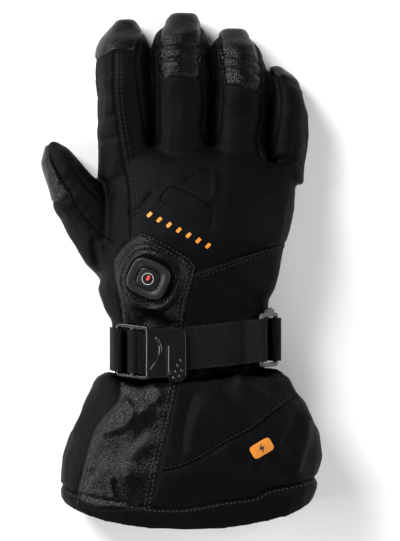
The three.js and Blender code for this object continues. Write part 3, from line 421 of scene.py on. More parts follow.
def softshell():
    """Matt woven softshell with a fine twill, soft mottling and painted shade along each seam groove."""
    tint = colours().cloth
    finish = Finish("softshell", tint, 0.55, Specular_IOR_Level=0.045, Sheen_Weight=0.003,
                    Sheen_Roughness=0.4)
    finish.shader.inputs["Sheen Tint"].default_value = (0.5, 0.53, 0.6, 1)
    x, y, z = finish.axes()
    warp = ((x + z) * 7.0 + finish.noise(0.5) * 3.0).sin()
    weft = ((y - z * 0.6) * 7.0).sin()
    weave = warp * weft
    beside = (1.0 - finish.attribute("seam").absolute() / 0.42).maximum(0.0)
    # Within a seam line: sunk in the bump, and painted darker in the colour as painted shade in the groove
    seam_groove_and_shade = beside * (1.5 - finish.attribute("seam_near")).maximum(0.0).minimum(1.0)
    finish.bump(weave * 0.35 + finish.noise(1.6, 4.0) * 1.4 - seam_groove_and_shade * 5.0, 0.08)
    mottle_and_seam_shade = weave * 0.2 + finish.noise(0.12, 4.0) - seam_groove_and_shade
    finish.colours(mottle_and_seam_shade.minimum(1.0).maximum(0.0), *shades(tint, 0.6, 1.6))
    return finish.material


def leather():
    """Pebbled leather: small cells with painted shade in the creases between them, glossier on top."""
    tint = colours().leather
    finish = Finish("leather", tint, 0.3, Specular_IOR_Level=0.12)
    cells = finish.cells(0.85, "SMOOTH_F1")
    crease = (finish.cells(0.85, "DISTANCE_TO_EDGE") * 4.0).minimum(1.0)
    finish.bump(crease * 0.8 - cells * 1.2 + finish.noise(0.25, 2.0) * 0.3, 0.1)
    # Colour: painted shade in the creases between the cells and lighter cell tops, with random tone
    finish.colours(crease * 0.6 + finish.noise(0.2) * 0.4, *shades(tint, 0.5, 1.4))
    finish.rough((0.32 - crease * 0.1) + (finish.noise(0.25) - 0.5) * 0.06)
    return finish.material


def webbing_finish():
    """Woven strap: a grid of raised threads and a corded edge, from the run along the strap, with painted
    shade in the hollows between the threads.
    """
    tint = colours().webbing
    finish = Finish("webbing", tint, 0.6, Specular_IOR_Level=0.08)
    run = finish.attribute("run") * 1000.0
    across = finish.attribute("across") * 1000.0
    threads = (run * 3.0).sin() * (across * 3.0).sin()
    edge = across.absolute().above((WEBBING_WIDTH / 2 - WEBBING_CORD) / MM)
    cord = (run * 3.6).sin()
    weave = threads * (1.0 - edge) + cord * edge
    finish.bump(weave + finish.noise(2.0) * 0.5, 0.3)
    # Colour follows the height of the weave: painted shade in the hollows between threads and cord ribs,
    # lighter tops, with random tone
    finish.colours((weave * 0.8 + 0.2).maximum(0.0) * (finish.noise(0.5) + 0.5), *shades(tint, 0.05, 1.2))
    return finish.material


def plastic(name, tint, rough, grain):
    """Moulded plastic with a fine grain and slightly uneven gloss."""
    finish = Finish(name, tint, rough, Specular_IOR_Level=0.26)
    finish.bump(finish.noise(1.2, 4.0), grain)
    finish.rough(finish.noise(0.4, 4.0) * 0.16 + (rough - 0.06))
    finish.colours(finish.noise(0.3), *shades(tint, 0.85, 1.25))
    return finish.material


def thread(name, tint):
    """Twisted sewing thread."""
    finish = Finish(name, tint, 0.55, Specular_IOR_Level=0.3)
    x, y, z = finish.axes()
    finish.bump(((x + y + z) * 22.0).sin(), 0.05)
    finish.colours(finish.noise(0.8), *shades(tint, 0.75, 1.4))
    return finish.material


def printed(name, tint):
    """A thin rubbery print on the cloth."""
    finish = Finish(name, tint, 0.5, Specular_IOR_Level=0.4)
    x, y, _ = finish.axes()
    finish.bump((x * 7.0).sin() * (y * 7.0).sin() + finish.noise(1.5), 0.03)
    finish.colours(finish.noise(0.7), *shades(tint, 0.88, 1.08))
    return finish.material


def glowing(name, tint, strength):
    """A small lamp behind a clear cover."""
    finish = Finish(name, tint, 0.35, Emission_Strength=strength)
    finish.shader.inputs["Emission Color"].default_value = (*tint, 1)
    finish.colours(finish.noise(1.5), *shades(tint, 0.9, 1.1))
    return finish.material


def lining_finish():
    """Brushed lining cloth."""
    tint = colours().lining
    finish = Finish("lining", tint, 0.95, Sheen_Weight=0.4, Sheen_Roughness=0.5)
    finish.bump(finish.noise(1.1, 5.0, 0.7), 0.5)
    finish.colours(finish.noise(0.5, 4.0), *shades(tint, 0.55, 1.5))
    return finish.material


def floor_finish():
    """Plain pale floor."""
    tint = colours().floor
    finish = Finish("floor", tint, 0.6)
    finish.colours(finish.noise(0.002), *shades(tint, 0.99, 1.02))
    return finish.material


FINISHES = {}


def finish_of(name, make, *values):
    if name not in FINISHES:
        FINISHES[name] = make(*values)
    return FINISHES[name]


def new_object(name, mesh, material):
    made = bpy.data.objects.new(name, mesh)
    bpy.context.scene.collection.objects.link(made)
    mesh.materials.clear()
    mesh.materials.append(material)
    return made


def from_bmesh(name, bm, material, smooth=True):
    mesh = bpy.data.meshes.new(name)
    bm.to_mesh(mesh)
    bm.free()
    for face in mesh.polygons:
        face.use_smooth = smooth
    return new_object(name, mesh, material)


def vertex_points(mesh):
    flat = np.empty(len(mesh.vertices) * 3)
    mesh.vertices.foreach_get("co", flat)
    return flat.reshape(-1, 3)


def set_points(mesh, points):
    mesh.vertices.foreach_set("co", np.ascontiguousarray(points, float).ravel())
    mesh.update()


def vertex_normals(mesh):
    flat = np.empty(len(mesh.vertices) * 3)
    mesh.vertex_normals.foreach_get("vector", flat)
    return flat.reshape(-1, 3)


def node_tree(names):
    """One search tree over several CAD nodes."""
    bm = bmesh.new()
    for name in names:
        bm.from_mesh(frame["nodes"][name].data)
    tree = BVHTree.FromBMesh(bm)
    bm.free()
    return tree


def lofted(bm, rings, close=True):
    """A grid rolled up through rings of as many points each, its seam merged and its ends closed."""
    around, steps = len(rings[0]), len(rings) - 1
    made = bmesh.ops.create_grid(bm, x_segments=around, y_segments=steps, size=1.0)["verts"]
    for vert in made:
        column = round((vert.co.x + 1) / 2 * around) % around
        row = round((vert.co.y + 1) / 2 * steps)
        vert.co = rings[row][column]
    bmesh.ops.remove_doubles(bm, verts=made, dist=MERGE)
    if close:
        rims = {edge for vert in made if vert.is_valid for edge in vert.link_edges if edge.is_boundary}
        bmesh.ops.edgeloop_fill(bm, edges=list(rims))


def inner_tube(bm, tree, start, end, steps, around, grow, close=True):
    """A tube between two points, its rings cast out to the first wall and pushed on by grow."""
    start, end = Vector(start), Vector(end)
    axis = (end - start).normalized()
    side = axis.cross(Vector((0, 0, 1))).normalized()
    up = side.cross(axis)
    turns = [2 * math.pi * i / around for i in range(around)]
    rays = [side * math.cos(turn) + up * math.sin(turn) for turn in turns]
    reach = np.zeros((steps + 1, around))
    for k in range(steps + 1):
        for i, ray in enumerate(rays):
            hit = tree.ray_cast(start.lerp(end, k / steps), ray)
            reach[k, i] = hit[3] if hit[0] else 10 * MM
    # Kept inside the wall where it narrows between two rings
    for shift in (1, -1):
        reach = np.minimum(reach, np.roll(reach, shift, axis=1))
        later = reach.copy()
        later[max(shift, 0):steps + 1 + min(shift, 0)] = reach[max(-shift, 0):steps + 1 + min(-shift, 0)]
        reach = np.minimum(reach, later)
    reach[1:-1] = (reach[:-2] + 2 * reach[1:-1] + reach[2:]) / 4
    rings = []
    for k in range(steps + 1):
        middle = start.lerp(end, k / steps)
        rings.append([middle + ray * (reach[k, i] + grow) for i, ray in enumerate(rays)])
    lofted(bm, rings, close)


def finger_axis(name):
    low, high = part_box(name)
    middle = (low + high) / 2
    start = Vector((middle.x, low.y - 2 * MM, low.z + 13 * MM))
    end = Vector((middle.x, high.y - 15 * MM, low.z + 12 * MM))
    return start, end


def body_axis():
    start = Vector((6 * MM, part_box("gauntlet")[0].y + 12 * MM, 27 * MM))
    end = Vector((8 * MM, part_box("hand_shell")[1].y - 10 * MM, 17 * MM))
    return start, end


def thumb_axis():
    start = Vector((-43 * MM, 14 * MM, 14 * MM))
    end = Vector((-66 * MM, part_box("thumb")[1].y - 17 * MM, 13 * MM))
    return start, end


def remeshed(bm, voxel):
    """Closed parts that touch or cross, made one skin of even squares."""
    mesh = bpy.data.meshes.new("source")
    bm.to_mesh(mesh)
    bm.free()
    source = bpy.data.objects.new("source", mesh)
    bpy.context.scene.collection.objects.link(source)
    modifier = source.modifiers.new("remesh", "REMESH")
    modifier.mode = "VOXEL"
    modifier.voxel_size = voxel
    bpy.context.view_layer.update()
    graph = bpy.context.evaluated_depsgraph_get()
    result = bpy.data.meshes.new_from_object(source.evaluated_get(graph))
    bpy.data.objects.remove(source)
    return result


class Links:
    """Neighbours of every point of a mesh, for averaging over them."""

    def __init__(self, mesh):
        edges = np.empty(len(mesh.edges) * 2, int)
        mesh.edges.foreach_get("vertices", edges)
        edges = edges.reshape(-1, 2)
        self.here = np.concatenate([edges[:, 0], edges[:, 1]])
        self.there = np.concatenate([edges[:, 1], edges[:, 0]])
        self.count = len(mesh.vertices)
        self.degree = np.maximum(np.bincount(self.here, minlength=self.count), 1)

    def mean(self, values):
        return np.bincount(self.here, weights=values[self.there], minlength=self.count) / self.degree

    def soften(self, values, rounds, share=0.8):
        for _ in range(rounds):
            values = values + (self.mean(values) - values) * share
        return values


def smoothed(mesh, rounds, weight):
    """Rounds off the facets, then moves the surface back out by what it lost."""
    links = Links(mesh)
    start = vertex_points(mesh)
    soft = np.stack([links.soften(start[:, k], rounds) for k in range(3)], 1)
    points = start + (soft - start) * weight[:, None]
    set_points(mesh, points)
    normals = vertex_normals(mesh)
    lost = np.clip(((start - points) * normals).sum(1), -MOST_LOST, MOST_LOST)
    points = points + normals * (links.soften(lost, rounds) * weight)[:, None]
    set_points(mesh, points)
    rest = np.clip(((start - points) * vertex_normals(mesh)).sum(1), -MOST_LOST, MOST_LOST)
    points = points + vertex_normals(mesh) * (links.soften(rest, rounds // 4) * weight)[:, None]
    set_points(mesh, points)
    return points


def soft_source():
    """The whole soft outside as one fine mesh: CAD walls, filled inside, fused and smoothed."""
    bm = bmesh.new()
    for name in SHELL_NODES:
        part = bmesh.new()
        part.from_mesh(frame["nodes"][name].data)
        bmesh.ops.remove_doubles(part, verts=part.verts, dist=MERGE)
        bmesh.ops.recalc_face_normals(part, faces=part.faces)
        part.normal_update()
        for vert in part.verts:
            move = vert.normal * SKIN
            if name.endswith("finger"):
                share = min(max((vert.co.y - CROTCH) / (8 * MM), 0), 1)
                if FINGER_TOUCH[0] < vert.co.z < FINGER_TOUCH[1]:
                    share *= TOUCH_SHARE
                move.x -= vert.normal.x * FINGER_NARROWING * share
            if name.endswith("finger") and vert.normal.y < -0.4:
                move.y -= JOIN
            if name in ("gauntlet", "hem_band") and vert.normal.y > 0.4:
                move.y += JOIN
            vert.co += move
        mesh = bpy.data.meshes.new("part")
        part.to_mesh(mesh)
        part.free()
        bm.from_mesh(mesh)
        bpy.data.meshes.remove(mesh)
    for pad in FILLINGS:
        place = Matrix.Translation((*spot(pad["at"]), pad["z"] * MM))
        place = place @ Matrix.Diagonal((*(size * MM for size in pad["size"]), 1))
        bmesh.ops.create_icosphere(bm, subdivisions=3, radius=1.0, matrix=place)
    tree = node_tree(SHELL_NODES)
    start, end = body_axis()
    inner_tube(bm, tree, start, end, 90, 48, 1.6 * MM)
    for name in ("index_finger", "middle_finger", "ring_finger", "little_finger"):
        start, end = finger_axis(name)
        inner_tube(bm, tree, start - Vector((0, 16 * MM, 0)), end, 20, 24, 1.4 * MM)
    start, end = thumb_axis()
    inner_tube(bm, tree, start, end, 20, 24, 1.4 * MM)
    bmesh.ops.recalc_face_normals(bm, faces=bm.faces)
    return bm


def held_share(points):
    """True where the cloth is sewn down, strapped or lies on what it rests on."""
    xy = points[:, :2]
    hem_low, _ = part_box("hem_band")
    held = (points[:, 2] < 3 * MM) | (points[:, 1] < hem_low.y + 9 * MM)
    middle = strap_middle()
    held |= np.abs(points[:, 1] - middle.y) < 19 * MM
    fields = region_fields(points)
    for name in ("cuff_leather", "gauntlet_cloth", "hem_band", *CAPS):
        held |= np.abs(fields[name]) < 2.5 * MM
    for seam in SEAMS.values():
        distance, _, _ = along_and_off(xy, line_of(seam))
        held |= (distance < 2.5 * MM) & (points[:, 2] > 12 * MM)
    pad = pad_frame()[0]
    held |= np.hypot(xy[:, 0] - pad.x, xy[:, 1] - pad.y) < 22 * MM
    return held


def strap_middle():
    low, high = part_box("wrist_strap")
    return (low + high) / 2


def cloth_moves(source, points):
    """A coarse cloth of the same form, a little too large for itself, puffs up between its seams under
    pressure from inside; its moves are carried over to the fine points."""
    mesh = remeshed(source, CLOTH_VOXEL)
    smoothed(mesh, 3, np.ones(len(mesh.vertices)))
    start = vertex_points(mesh)
    cloth = bpy.data.objects.new("cloth", mesh)
    scene = bpy.context.scene
    scene.collection.objects.link(cloth)
    group = cloth.vertex_groups.new(name="held")
    group.add([int(i) for i in np.flatnonzero(held_share(start))], 1.0, "REPLACE")
    modifier = cloth.modifiers.new("cloth", "CLOTH")
    settings = modifier.settings
    settings.mass = CLOTH_MASS
    settings.tension_stiffness = CLOTH_STIFFNESS
    settings.compression_stiffness = CLOTH_STIFFNESS
    settings.bending_stiffness = CLOTH_BENDING
    settings.shrink_min = CLOTH_EXTRA
    settings.use_pressure = True
    settings.uniform_pressure_force = sizes().cloth_pressure
    settings.effector_weights.gravity = 0
    settings.vertex_group_mass = "held"
    modifier.point_cache.frame_start = 1
    modifier.point_cache.frame_end = CLOTH_FRAMES
    for number in range(1, CLOTH_FRAMES + 1):
        scene.frame_set(number)
    after = cloth.evaluated_get(bpy.context.evaluated_depsgraph_get()).to_mesh()
    links = Links(mesh)
    moves = vertex_points(after) - start
    moves = np.stack([links.soften(moves[:, k], 2) for k in range(3)], 1)
    bpy.data.objects.remove(cloth)
    scene.frame_set(1)
    length = np.maximum(np.linalg.norm(moves, axis=1), 1e-9)
    moves *= (np.minimum(length, sizes().cloth_puff) / length)[:, None]
    tree = KDTree(len(start))
    for i, point in enumerate(start):
        tree.insert(point, i)
    tree.balance()
    carried = np.zeros_like(points)
    for i, point in enumerate(points):
        total = 0.0
        for _, k, distance in tree.find_n(point, 4):
            weight = 1 / (distance + 0.5 * MM) ** 2
            carried[i] += moves[k] * weight
            total += weight
        carried[i] /= total
    return carried


def top_share(normals):
    """1 on the back of the glove, 0 underneath."""
    return np.clip(normals[:, 2] * 2.5 + 0.4, 0, 1)


def pad_frame():
    """Place of the control pad: its middle on the leather, side, up and outward directions."""
    out = Vector(frame["joints"][0]["axis"]).normalized()
    low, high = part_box("power_button")
    middle = (low + high) / 2
    side = Vector((1, 0, -out.x / out.z)).normalized()
    up = out.cross(side)
    turned = Matrix.Rotation(math.radians(PAD_TURN), 3, out)
    return middle, turned @ side, turned @ up, out


def shaped(source):
    """Puffed cloth, folds, seams, rim of the control and small wrinkles, moved into the fine mesh."""
    coarse = source.copy()
    mesh = remeshed(source, VOXEL)
    points = vertex_points(mesh)
    hem_low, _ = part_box("hem_band")
    rim = np.clip((points[:, 1] - (hem_low.y + 6 * MM)) / (16 * MM), 0.12, 1)
    points = smoothed(mesh, SMOOTH_ROUNDS, rim)
    points = points + cloth_moves(coarse, points)
    set_points(mesh, points)
    normals = vertex_normals(mesh)
    top = top_share(normals)
    xy = points[:, :2]
    move = np.zeros(len(points))
    for fold in FOLDS.values():
        distance, _, _ = along_and_off(xy, smooth_line(line_of(fold["line"])))
        depth = fold["depth"] * MM * sizes().fold_share
        move += depth * np.exp(-(distance / (fold["width"] * MM)) ** 2) * top
    for seam in SEAMS.values():
        distance, sign, run = along_and_off(xy, smooth_line(line_of(seam)))
        move -= sizes().seam_depth * np.exp(-(distance / (0.95 * MM)) ** 2) * top
        pucker = np.cos(run / (7.5 * MM) * 2 * math.pi + sign)
        move += 0.16 * MM * pucker * np.exp(-((distance - 2.4 * MM) / (2.2 * MM)) ** 2) * top
    for line in EMBOSSED.values():
        distance, _, _ = along_and_off(xy, smooth_line(line_of(line)))
        move -= 0.45 * MM * np.exp(-(distance / (0.7 * MM)) ** 2) * top
    fields = region_fields(points)
    for name in ("cuff_leather", *CAPS):
        field = fields[name]
        move += sizes().leather_rise * np.clip(field / (1.6 * MM) + 0.2, 0, 1)
        move -= sizes().leather_seam * np.exp(-(field / (0.9 * MM)) ** 2)
    palm = fields["palm_leather"]
    move -= sizes().leather_seam * np.exp(-(palm / (1.1 * MM)) ** 2)
    hem = fields["hem_band"]
    move -= 1.3 * MM * np.exp(-(hem / (1.3 * MM)) ** 2)
    move += 0.7 * MM * np.exp(-((hem - 5 * MM) / (3.6 * MM)) ** 2)
    for bulge in BULGES.values():
        away = np.hypot(*(xy - np.array(spot(bulge["at"]))).T)
        move += bulge["height"] * MM * np.exp(-(away / (bulge["radius"] * MM)) ** 2)
    wrinkle = [noise.noise(Vector(p) * 55) + 0.5 * noise.noise(Vector(p) * 130) for p in points]
    high = np.clip((points[:, 2] - 3 * MM) / (4 * MM), 0, 1)
    move += np.array(wrinkle) * sizes().wrinkle_height * high
    points = points + normals * move[:, None]
    middle, side, up, out = pad_frame()
    rel = points - np.array(middle)
    u, v, h = rel @ np.array(side), rel @ np.array(up), rel @ np.array(out)
    radius = ((np.abs(u) / RIM_RADII[0]) ** 2.4 + (np.abs(v) / RIM_RADII[1]) ** 2.4) ** (1 / 2.4)
    near = (h > -14 * MM) & (radius < 1.6)
    crest = sizes().rim_rise * np.exp(-((radius - 0.92) / 0.14) ** 2)
    seat = np.clip((0.86 - radius) / 0.12, 0, 1)
    flat = (-SEAT_DEPTH - h) * seat
    points[near] += np.outer((crest + flat)[near], np.array(out))
    points[:, 2] = np.maximum(points[:, 2], 0.1 * MM)
    set_points(mesh, points)
    return mesh


def cut_field(bm, layer):
    """Cuts the mesh along the zero of a value kept on its points."""
    for edge in list(bm.edges):
        a, b = edge.verts
        fa, fb = a[layer], b[layer]
        if fa * fb >= 0:
            continue
        t = fa / (fa - fb)
        if t < 0.2:
            a[layer] = 0.0
        elif t > 0.8:
            b[layer] = 0.0
        else:
            _, vert = bmesh.utils.edge_split(edge, a, t)
            vert[layer] = 0.0
    for face in list(bm.faces):
        values = [vert[layer] for vert in face.verts]
        if min(values) >= 0 or max(values) <= 0:
            continue
        on = [vert for vert in face.verts if vert[layer] == 0.0]
        if len(on) >= 2 and not any(on[1] in edge.verts for edge in on[0].link_edges):
            bmesh.utils.face_split(face, on[0], on[1])


def region_fields(points):
    """Signed distance of each point to each leather piece and to the seams that part the cloth."""
    xy = points[:, :2]
    above = points[:, 2] - PALM_HEIGHT
    fields = {}
    palm_end = spot((0, PALM_END_PIXEL)).y
    fields["palm_leather"] = np.minimum(-above, xy[:, 1] - palm_end)
    for name, outline in CAPS.items():
        fields[name] = np.minimum(inside_distance(xy, soft_outline(outline, 1)), above)
    panel = inside_distance(xy, soft_outline(PANEL))
    fields["cuff_leather"] = np.minimum(panel, points[:, 2] - 20 * MM)
    distance, sign, _ = along_and_off(xy, line_of(HEM_SEAM))
    fields["hem_band"] = -distance * sign
    distance, sign, _ = along_and_off(xy, line_of(SPLIT_SEAM))
    fields["gauntlet_cloth"] = -distance * sign
    return fields


def seam_values(points, normals):
    """For each point: millimetres to the nearest seam with a sign, and without one."""
    side = np.full(len(points), 9.0)
    near = np.full(len(points), 9.0)
    for pixels in (*SEAMS.values(), HEM_SEAM, *EMBOSSED.values()):
        distance, sign, _ = along_and_off(points[:, :2], smooth_line(line_of(pixels)))
        distance = np.minimum(distance / MM, 9.0)
        closer = distance < near
        side[closer] = (distance * sign)[closer]
        near[closer] = distance[closer]
    away = (normals[:, 2] < 0.1) | (points[:, 2] < 9 * MM)
    near[away] = 9.0
    return side, near


def take(bm, layer, number, name):
    """A copy of the faces marked with a number, as a mesh of its own."""
    part = bm.copy()
    mark = part.faces.layers.int[layer]
    bmesh.ops.delete(part, geom=[f for f in part.faces if f[mark] != number], context="FACES")
    mesh = bpy.data.meshes.new(name)
    part.to_mesh(mesh)
    part.free()
    for face in mesh.polygons:
        face.use_smooth = True
    return mesh


def thickened(obj, thickness):
    """Gives a leather piece its thickness inwards, its edge hidden in the seam."""
    solid = obj.modifiers.new("thickness", "SOLIDIFY")
    solid.thickness = thickness
    solid.offset = -1.0
    solid.use_even_offset = False


SOFT = {}


def between_walls(tree, point):
    """True for a point with a wall well above it and another well below it."""
    hits = [tree.ray_cast(point, Vector((0, 0, way))) for way in (1, -1)]
    return all(hit[0] and hit[3] > 2 * MM for hit in hits)


def make_soft():
    """The whole soft outside, cut into its pieces of cloth and leather."""
    mesh = shaped(soft_source())
    bm = bmesh.new()
    bm.from_mesh(mesh)
    bm.normal_update()
    # The floor of the filling inside the cuff is taken out, so that the cuff is open
    floor_y = body_axis()[0].y
    walls = node_tree(("gauntlet",))
    inside = [f for f in bm.faces if f.normal.y < -0.5 and abs(f.calc_center_median().y - floor_y) < 6 * MM
              and between_walls(walls, f.calc_center_median())]
    bmesh.ops.delete(bm, geom=inside, context="FACES")
    points = np.array([v.co for v in bm.verts])
    fields = region_fields(points)
    side = bm.verts.layers.float.new("seam")
    near = bm.verts.layers.float.new("seam_near")
    seam_side, seam_near = seam_values(points, np.array([v.normal for v in bm.verts]))
    for i, vert in enumerate(bm.verts):
        vert[side] = seam_side[i]
        vert[near] = seam_near[i]
    order = ("palm_leather", *CAPS, "cuff_leather", "hem_band", "gauntlet_cloth")
    layers = {}
    for name in order:
        bm.verts.layers.float.new(name)
    for name in order:
        layers[name] = bm.verts.layers.float[name]
    for i, vert in enumerate(bm.verts):
        for name in order:
            vert[layers[name]] = float(fields[name][i])
    for name in order:
        cut_field(bm, layers[name])
    bm.faces.layers.int.new("piece")
    mark = bm.faces.layers.int["piece"]
    for face in bm.faces:
        face[mark] = 0
        for number, name in enumerate(order, 1):
            if sum(vert[layers[name]] for vert in face.verts) > 0:
                face[mark] = number
                break
    cloth = finish_of("softshell", softshell)
    hide = finish_of("leather", leather)
    body = new_object("hand_cloth", take(bm, "piece", 0, "hand_cloth"), cloth)
    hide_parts("hand_shell", "thumb", "index_finger", "middle_finger", "ring_finger", "little_finger")
    pieces = [body]
    for number, name in enumerate(order, 1):
        is_cloth = name in ("hem_band", "gauntlet_cloth")
        obj = new_object(name + "_piece", take(bm, "piece", number, name), cloth if is_cloth else hide)
        if not is_cloth:
            thickened(obj, sizes().leather_thickness)
        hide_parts({"gauntlet_cloth": "gauntlet"}.get(name, name))
        pieces.append(obj)
    bm.free()
    for obj in pieces:
        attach(obj, BODY)
    SOFT["tree"] = top_tree(pieces)


def make_lining():
    """Brushed lining inside, from behind the hem to the knuckles."""
    bm = bmesh.new()
    start, end = body_axis()
    inner_tube(bm, SOFT["tree"], start - Vector((0, 4 * MM, 0)), end, 90, 64, -LINING_INSET, close=False)
    bmesh.ops.recalc_face_normals(bm, faces=bm.faces)
    bmesh.ops.reverse_faces(bm, faces=bm.faces)
    lining = from_bmesh("lining", bm, finish_of("lining", lining_finish))
    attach(lining, BODY)
    return lining


def top_tree(pieces):
    """Search tree over the soft pieces as they are shown, for what is sewn or printed on them."""
    graph = bpy.context.evaluated_depsgraph_get()
    bm = bmesh.new()
    for obj in pieces:
        mesh = bpy.data.meshes.new_from_object(obj.evaluated_get(graph))
        bm.from_mesh(mesh)
        bpy.data.meshes.remove(mesh)
    tree = BVHTree.FromBMesh(bm)
    bm.free()
    return tree


def drop(tree, x, y):
    hit = tree.ray_cast(Vector((x, y, 0.3)), Vector((0, 0, -1)))
    return (hit[0], hit[1]) if hit[0] else (None, None)


def stitch_rows(name, rows, material):
    """Small rounded stitches laid along lines, sunk a little into what carries them."""
    tree = SOFT["tree"]
    radius, length, pitch = sizes().stitch_radius, sizes().stitch_length, sizes().stitch_pitch
    bm = bmesh.new()
    for line in rows:
        steps = np.hypot(*np.diff(line, axis=0).T)
        run = np.concatenate([[0], np.cumsum(steps)])
        for place in np.arange(pitch / 2, run[-1], pitch):
            x, y = np.interp(place, run, line[:, 0]), np.interp(place, run, line[:, 1])
            later = place + 0.5 * MM
            ahead = Vector((np.interp(later, run, line[:, 0]) - x, np.interp(later, run, line[:, 1]) - y, 0))
            point, normal = drop(tree, x, y)
            if point is None or point.z < 8 * MM or ahead.length_squared < 1e-9:
                continue
            ahead = (ahead - normal * ahead.dot(normal)).normalized()
            side = normal.cross(ahead)
            matrix = Matrix((ahead, side, normal)).transposed().to_4x4()
            matrix.translation = point + normal * (radius * 0.25)
            matrix = matrix @ Matrix.Diagonal((length / 2, radius, radius * 0.9, 1))
            bmesh.ops.create_icosphere(bm, subdivisions=1, radius=1.0, matrix=matrix)
    made = from_bmesh(name, bm, material)
    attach(made, BODY)
    return made


def offset_line(line, distance):
    step = np.gradient(line, axis=0)
    step /= np.maximum(np.hypot(step[:, 0], step[:, 1]), 1e-12)[:, None]
    return line + np.stack([-step[:, 1], step[:, 0]], 1) * distance


def make_stitches():
    """Rows of stitches on the cloth, on the leather and at the finger caps."""
    dark = finish_of("thread", thread, "thread", colours().thread)
    light = finish_of("light_thread", thread, "light_thread", colours().light_thread)
    rows = []
    for name, distances in SEAM_ROWS.items():
        line = smooth_line(line_of(SEAMS[name]))
        rows += [offset_line(line, distance * MM) for distance in distances]
    stitch_rows("cloth_stitches", rows, dark)
    panel = smooth_line(line_of(PANEL[:11]))
    left = smooth_line(line_of(PANEL[11:] + PANEL[:1]))
    hem = smooth_line(line_of(HEM_SEAM[1:-1]))
    rows = [offset_line(panel, -1.7 * MM), offset_line(panel, -4.2 * MM), offset_line(left, -1.7 * MM),
            offset_line(hem, -1.7 * MM)]
    stitch_rows("leather_stitches", rows, light)
    rows = [offset_line(smooth_line(line_of(CAPS[name][first:last])), -1.4 * MM)
            for name, (first, last) in CAP_EDGES.items()]
    rows += [smooth_line(line_of(EMBOSSED["knuckle_low"]))]
    rows += [offset_line(smooth_line(line_of(THUMB_BAND)), distance * MM) for distance in (0.0, 2.4, 4.8)]
    stitch_rows("cap_stitches", rows, dark)


def outline_runs(bm, low):
    """Length along the webbing for the points on its lower edge, from the loop that bounds it."""
    edges = [e for e in bm.edges if e.verts[0] in low and e.verts[1] in low
             and any(v not in low for f in e.link_faces for v in f.verts)]
    near = {}
    for edge in edges:
        a, b = edge.verts
        near.setdefault(a, []).append(b)
        near.setdefault(b, []).append(a)
    # The loop starts at a square end: a short side with a sharp turn at both its corners
    def turn(v):
        a, b = near[v][:2]
        return (a.co - v.co).angle(v.co - b.co)
    first = max(edges, key=lambda e: min(turn(e.verts[0]), turn(e.verts[1])))
    last, here = first.verts
    gone = {last: 0.0, here: 0.0}
    order = [here]
    while True:
        ahead = [v for v in near[here] if v not in gone or (v is last and len(order) > 2)]
        ahead = [v for v in ahead if v not in order]
        if not ahead:
            break
        gone[ahead[0]] = gone[here] + (ahead[0].co - here.co).length
        here = ahead[0]
        order.append(here)
        if here is last:
            break
    whole = max(gone.values())
    return {v: min(g, whole - g) for v, g in gone.items()}


def webbing_piece(name):
    """The webbing's own solid, its run along the path and its place across it kept on its points."""
    bm = bmesh.new()
    bm.from_mesh(frame["nodes"][name].data)
    bmesh.ops.remove_doubles(bm, verts=bm.verts, dist=MERGE)
    bm.verts.layers.float.new("run")
    bm.verts.layers.float.new("across")
    run = bm.verts.layers.float["run"]
    across = bm.verts.layers.float["across"]
    pairs = {}
    for v in bm.verts:
        pairs.setdefault((round(v.co.x * 2e4), round(v.co.z * 2e4)), []).append(v)
    low = {min(group, key=lambda v: v.co.y) for group in pairs.values()}
    lengths = outline_runs(bm, low)
    for group in pairs.values():
        least = min(group, key=lambda v: v.co.y)
        for v in group:
            v[run] = lengths.get(least, 0.0)
            v[across] = -WEBBING_WIDTH / 2 if v is least else WEBBING_WIDTH / 2
    piece = from_bmesh(name + "_woven", bm, finish_of("webbing", webbing_finish), smooth=False)
    bevel = piece.modifiers.new("edge", "BEVEL")
    bevel.width = 0.3 * MM
    bevel.segments = 2
    bevel.limit_method = "ANGLE"
    bevel.angle_limit = math.radians(50)
    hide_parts(name)
    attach(piece, BODY)
    return piece


def moulded(name, ridges, studs, material):
    """A hard piece from its solid with rounded edges, and raised lines and studs on its face."""
    bm = bmesh.new()
    bm.from_mesh(frame["nodes"][name].data)
    bmesh.ops.remove_doubles(bm, verts=bm.verts, dist=MERGE)
    mesh = remeshed(bm, MOULD_VOXEL)
    links = Links(mesh)
    points = vertex_points(mesh)
    points = np.stack([links.soften(points[:, k], 3) for k in range(3)], 1)
    set_points(mesh, points)
    normals = vertex_normals(mesh)
    up = np.clip(normals[:, 2] * 3 - 1.4, 0, 1)
    move = np.zeros(len(points))
    for ridge in ridges:
        distance, _, _ = along_and_off(points[:, :2], smooth_line(line_of(ridge["line"])))
        move += ridge["height"] * MM * np.exp(-(distance / (ridge["width"] * MM)) ** 4)
    for stud in studs:
        away = np.hypot(*(points[:, :2] - np.array(spot(stud))).T)
        move += 0.45 * MM * np.exp(-(away / (0.75 * MM)) ** 4)
    set_points(mesh, points + normals * (move * up)[:, None])
    for face in mesh.polygons:
        face.use_smooth = True
    piece = new_object(name + "_moulded", mesh, material)
    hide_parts(name)
    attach(piece, BODY)
    return piece


def superellipse(size, exponent, around):
    """Points of a rounded rectangle about the origin."""
    turns = np.arange(around) * 2 * math.pi / around
    sides = np.stack([np.cos(turns), np.sin(turns)], 1)
    return np.sign(sides) * np.abs(sides) ** (2 / exponent) * np.array(size) / 2


def plate_ring(size, height, place):
    """The outline of a plate at a height, in the pad's own directions."""
    middle, side, up, out = place
    return [middle + side * x + up * y + out * height for x, y in superellipse(size, 3.4, 64)]


def plate_rings(size, low, high, place, edge):
    """Rings of a plate with its upper edge rounded off."""
    return [plate_ring((size[0] - 2 * inset, size[1] - 2 * inset), height, place)
            for inset, height in ((0, low), (0, high - edge), (edge * 0.3, high - edge * 0.3), (edge, high))]


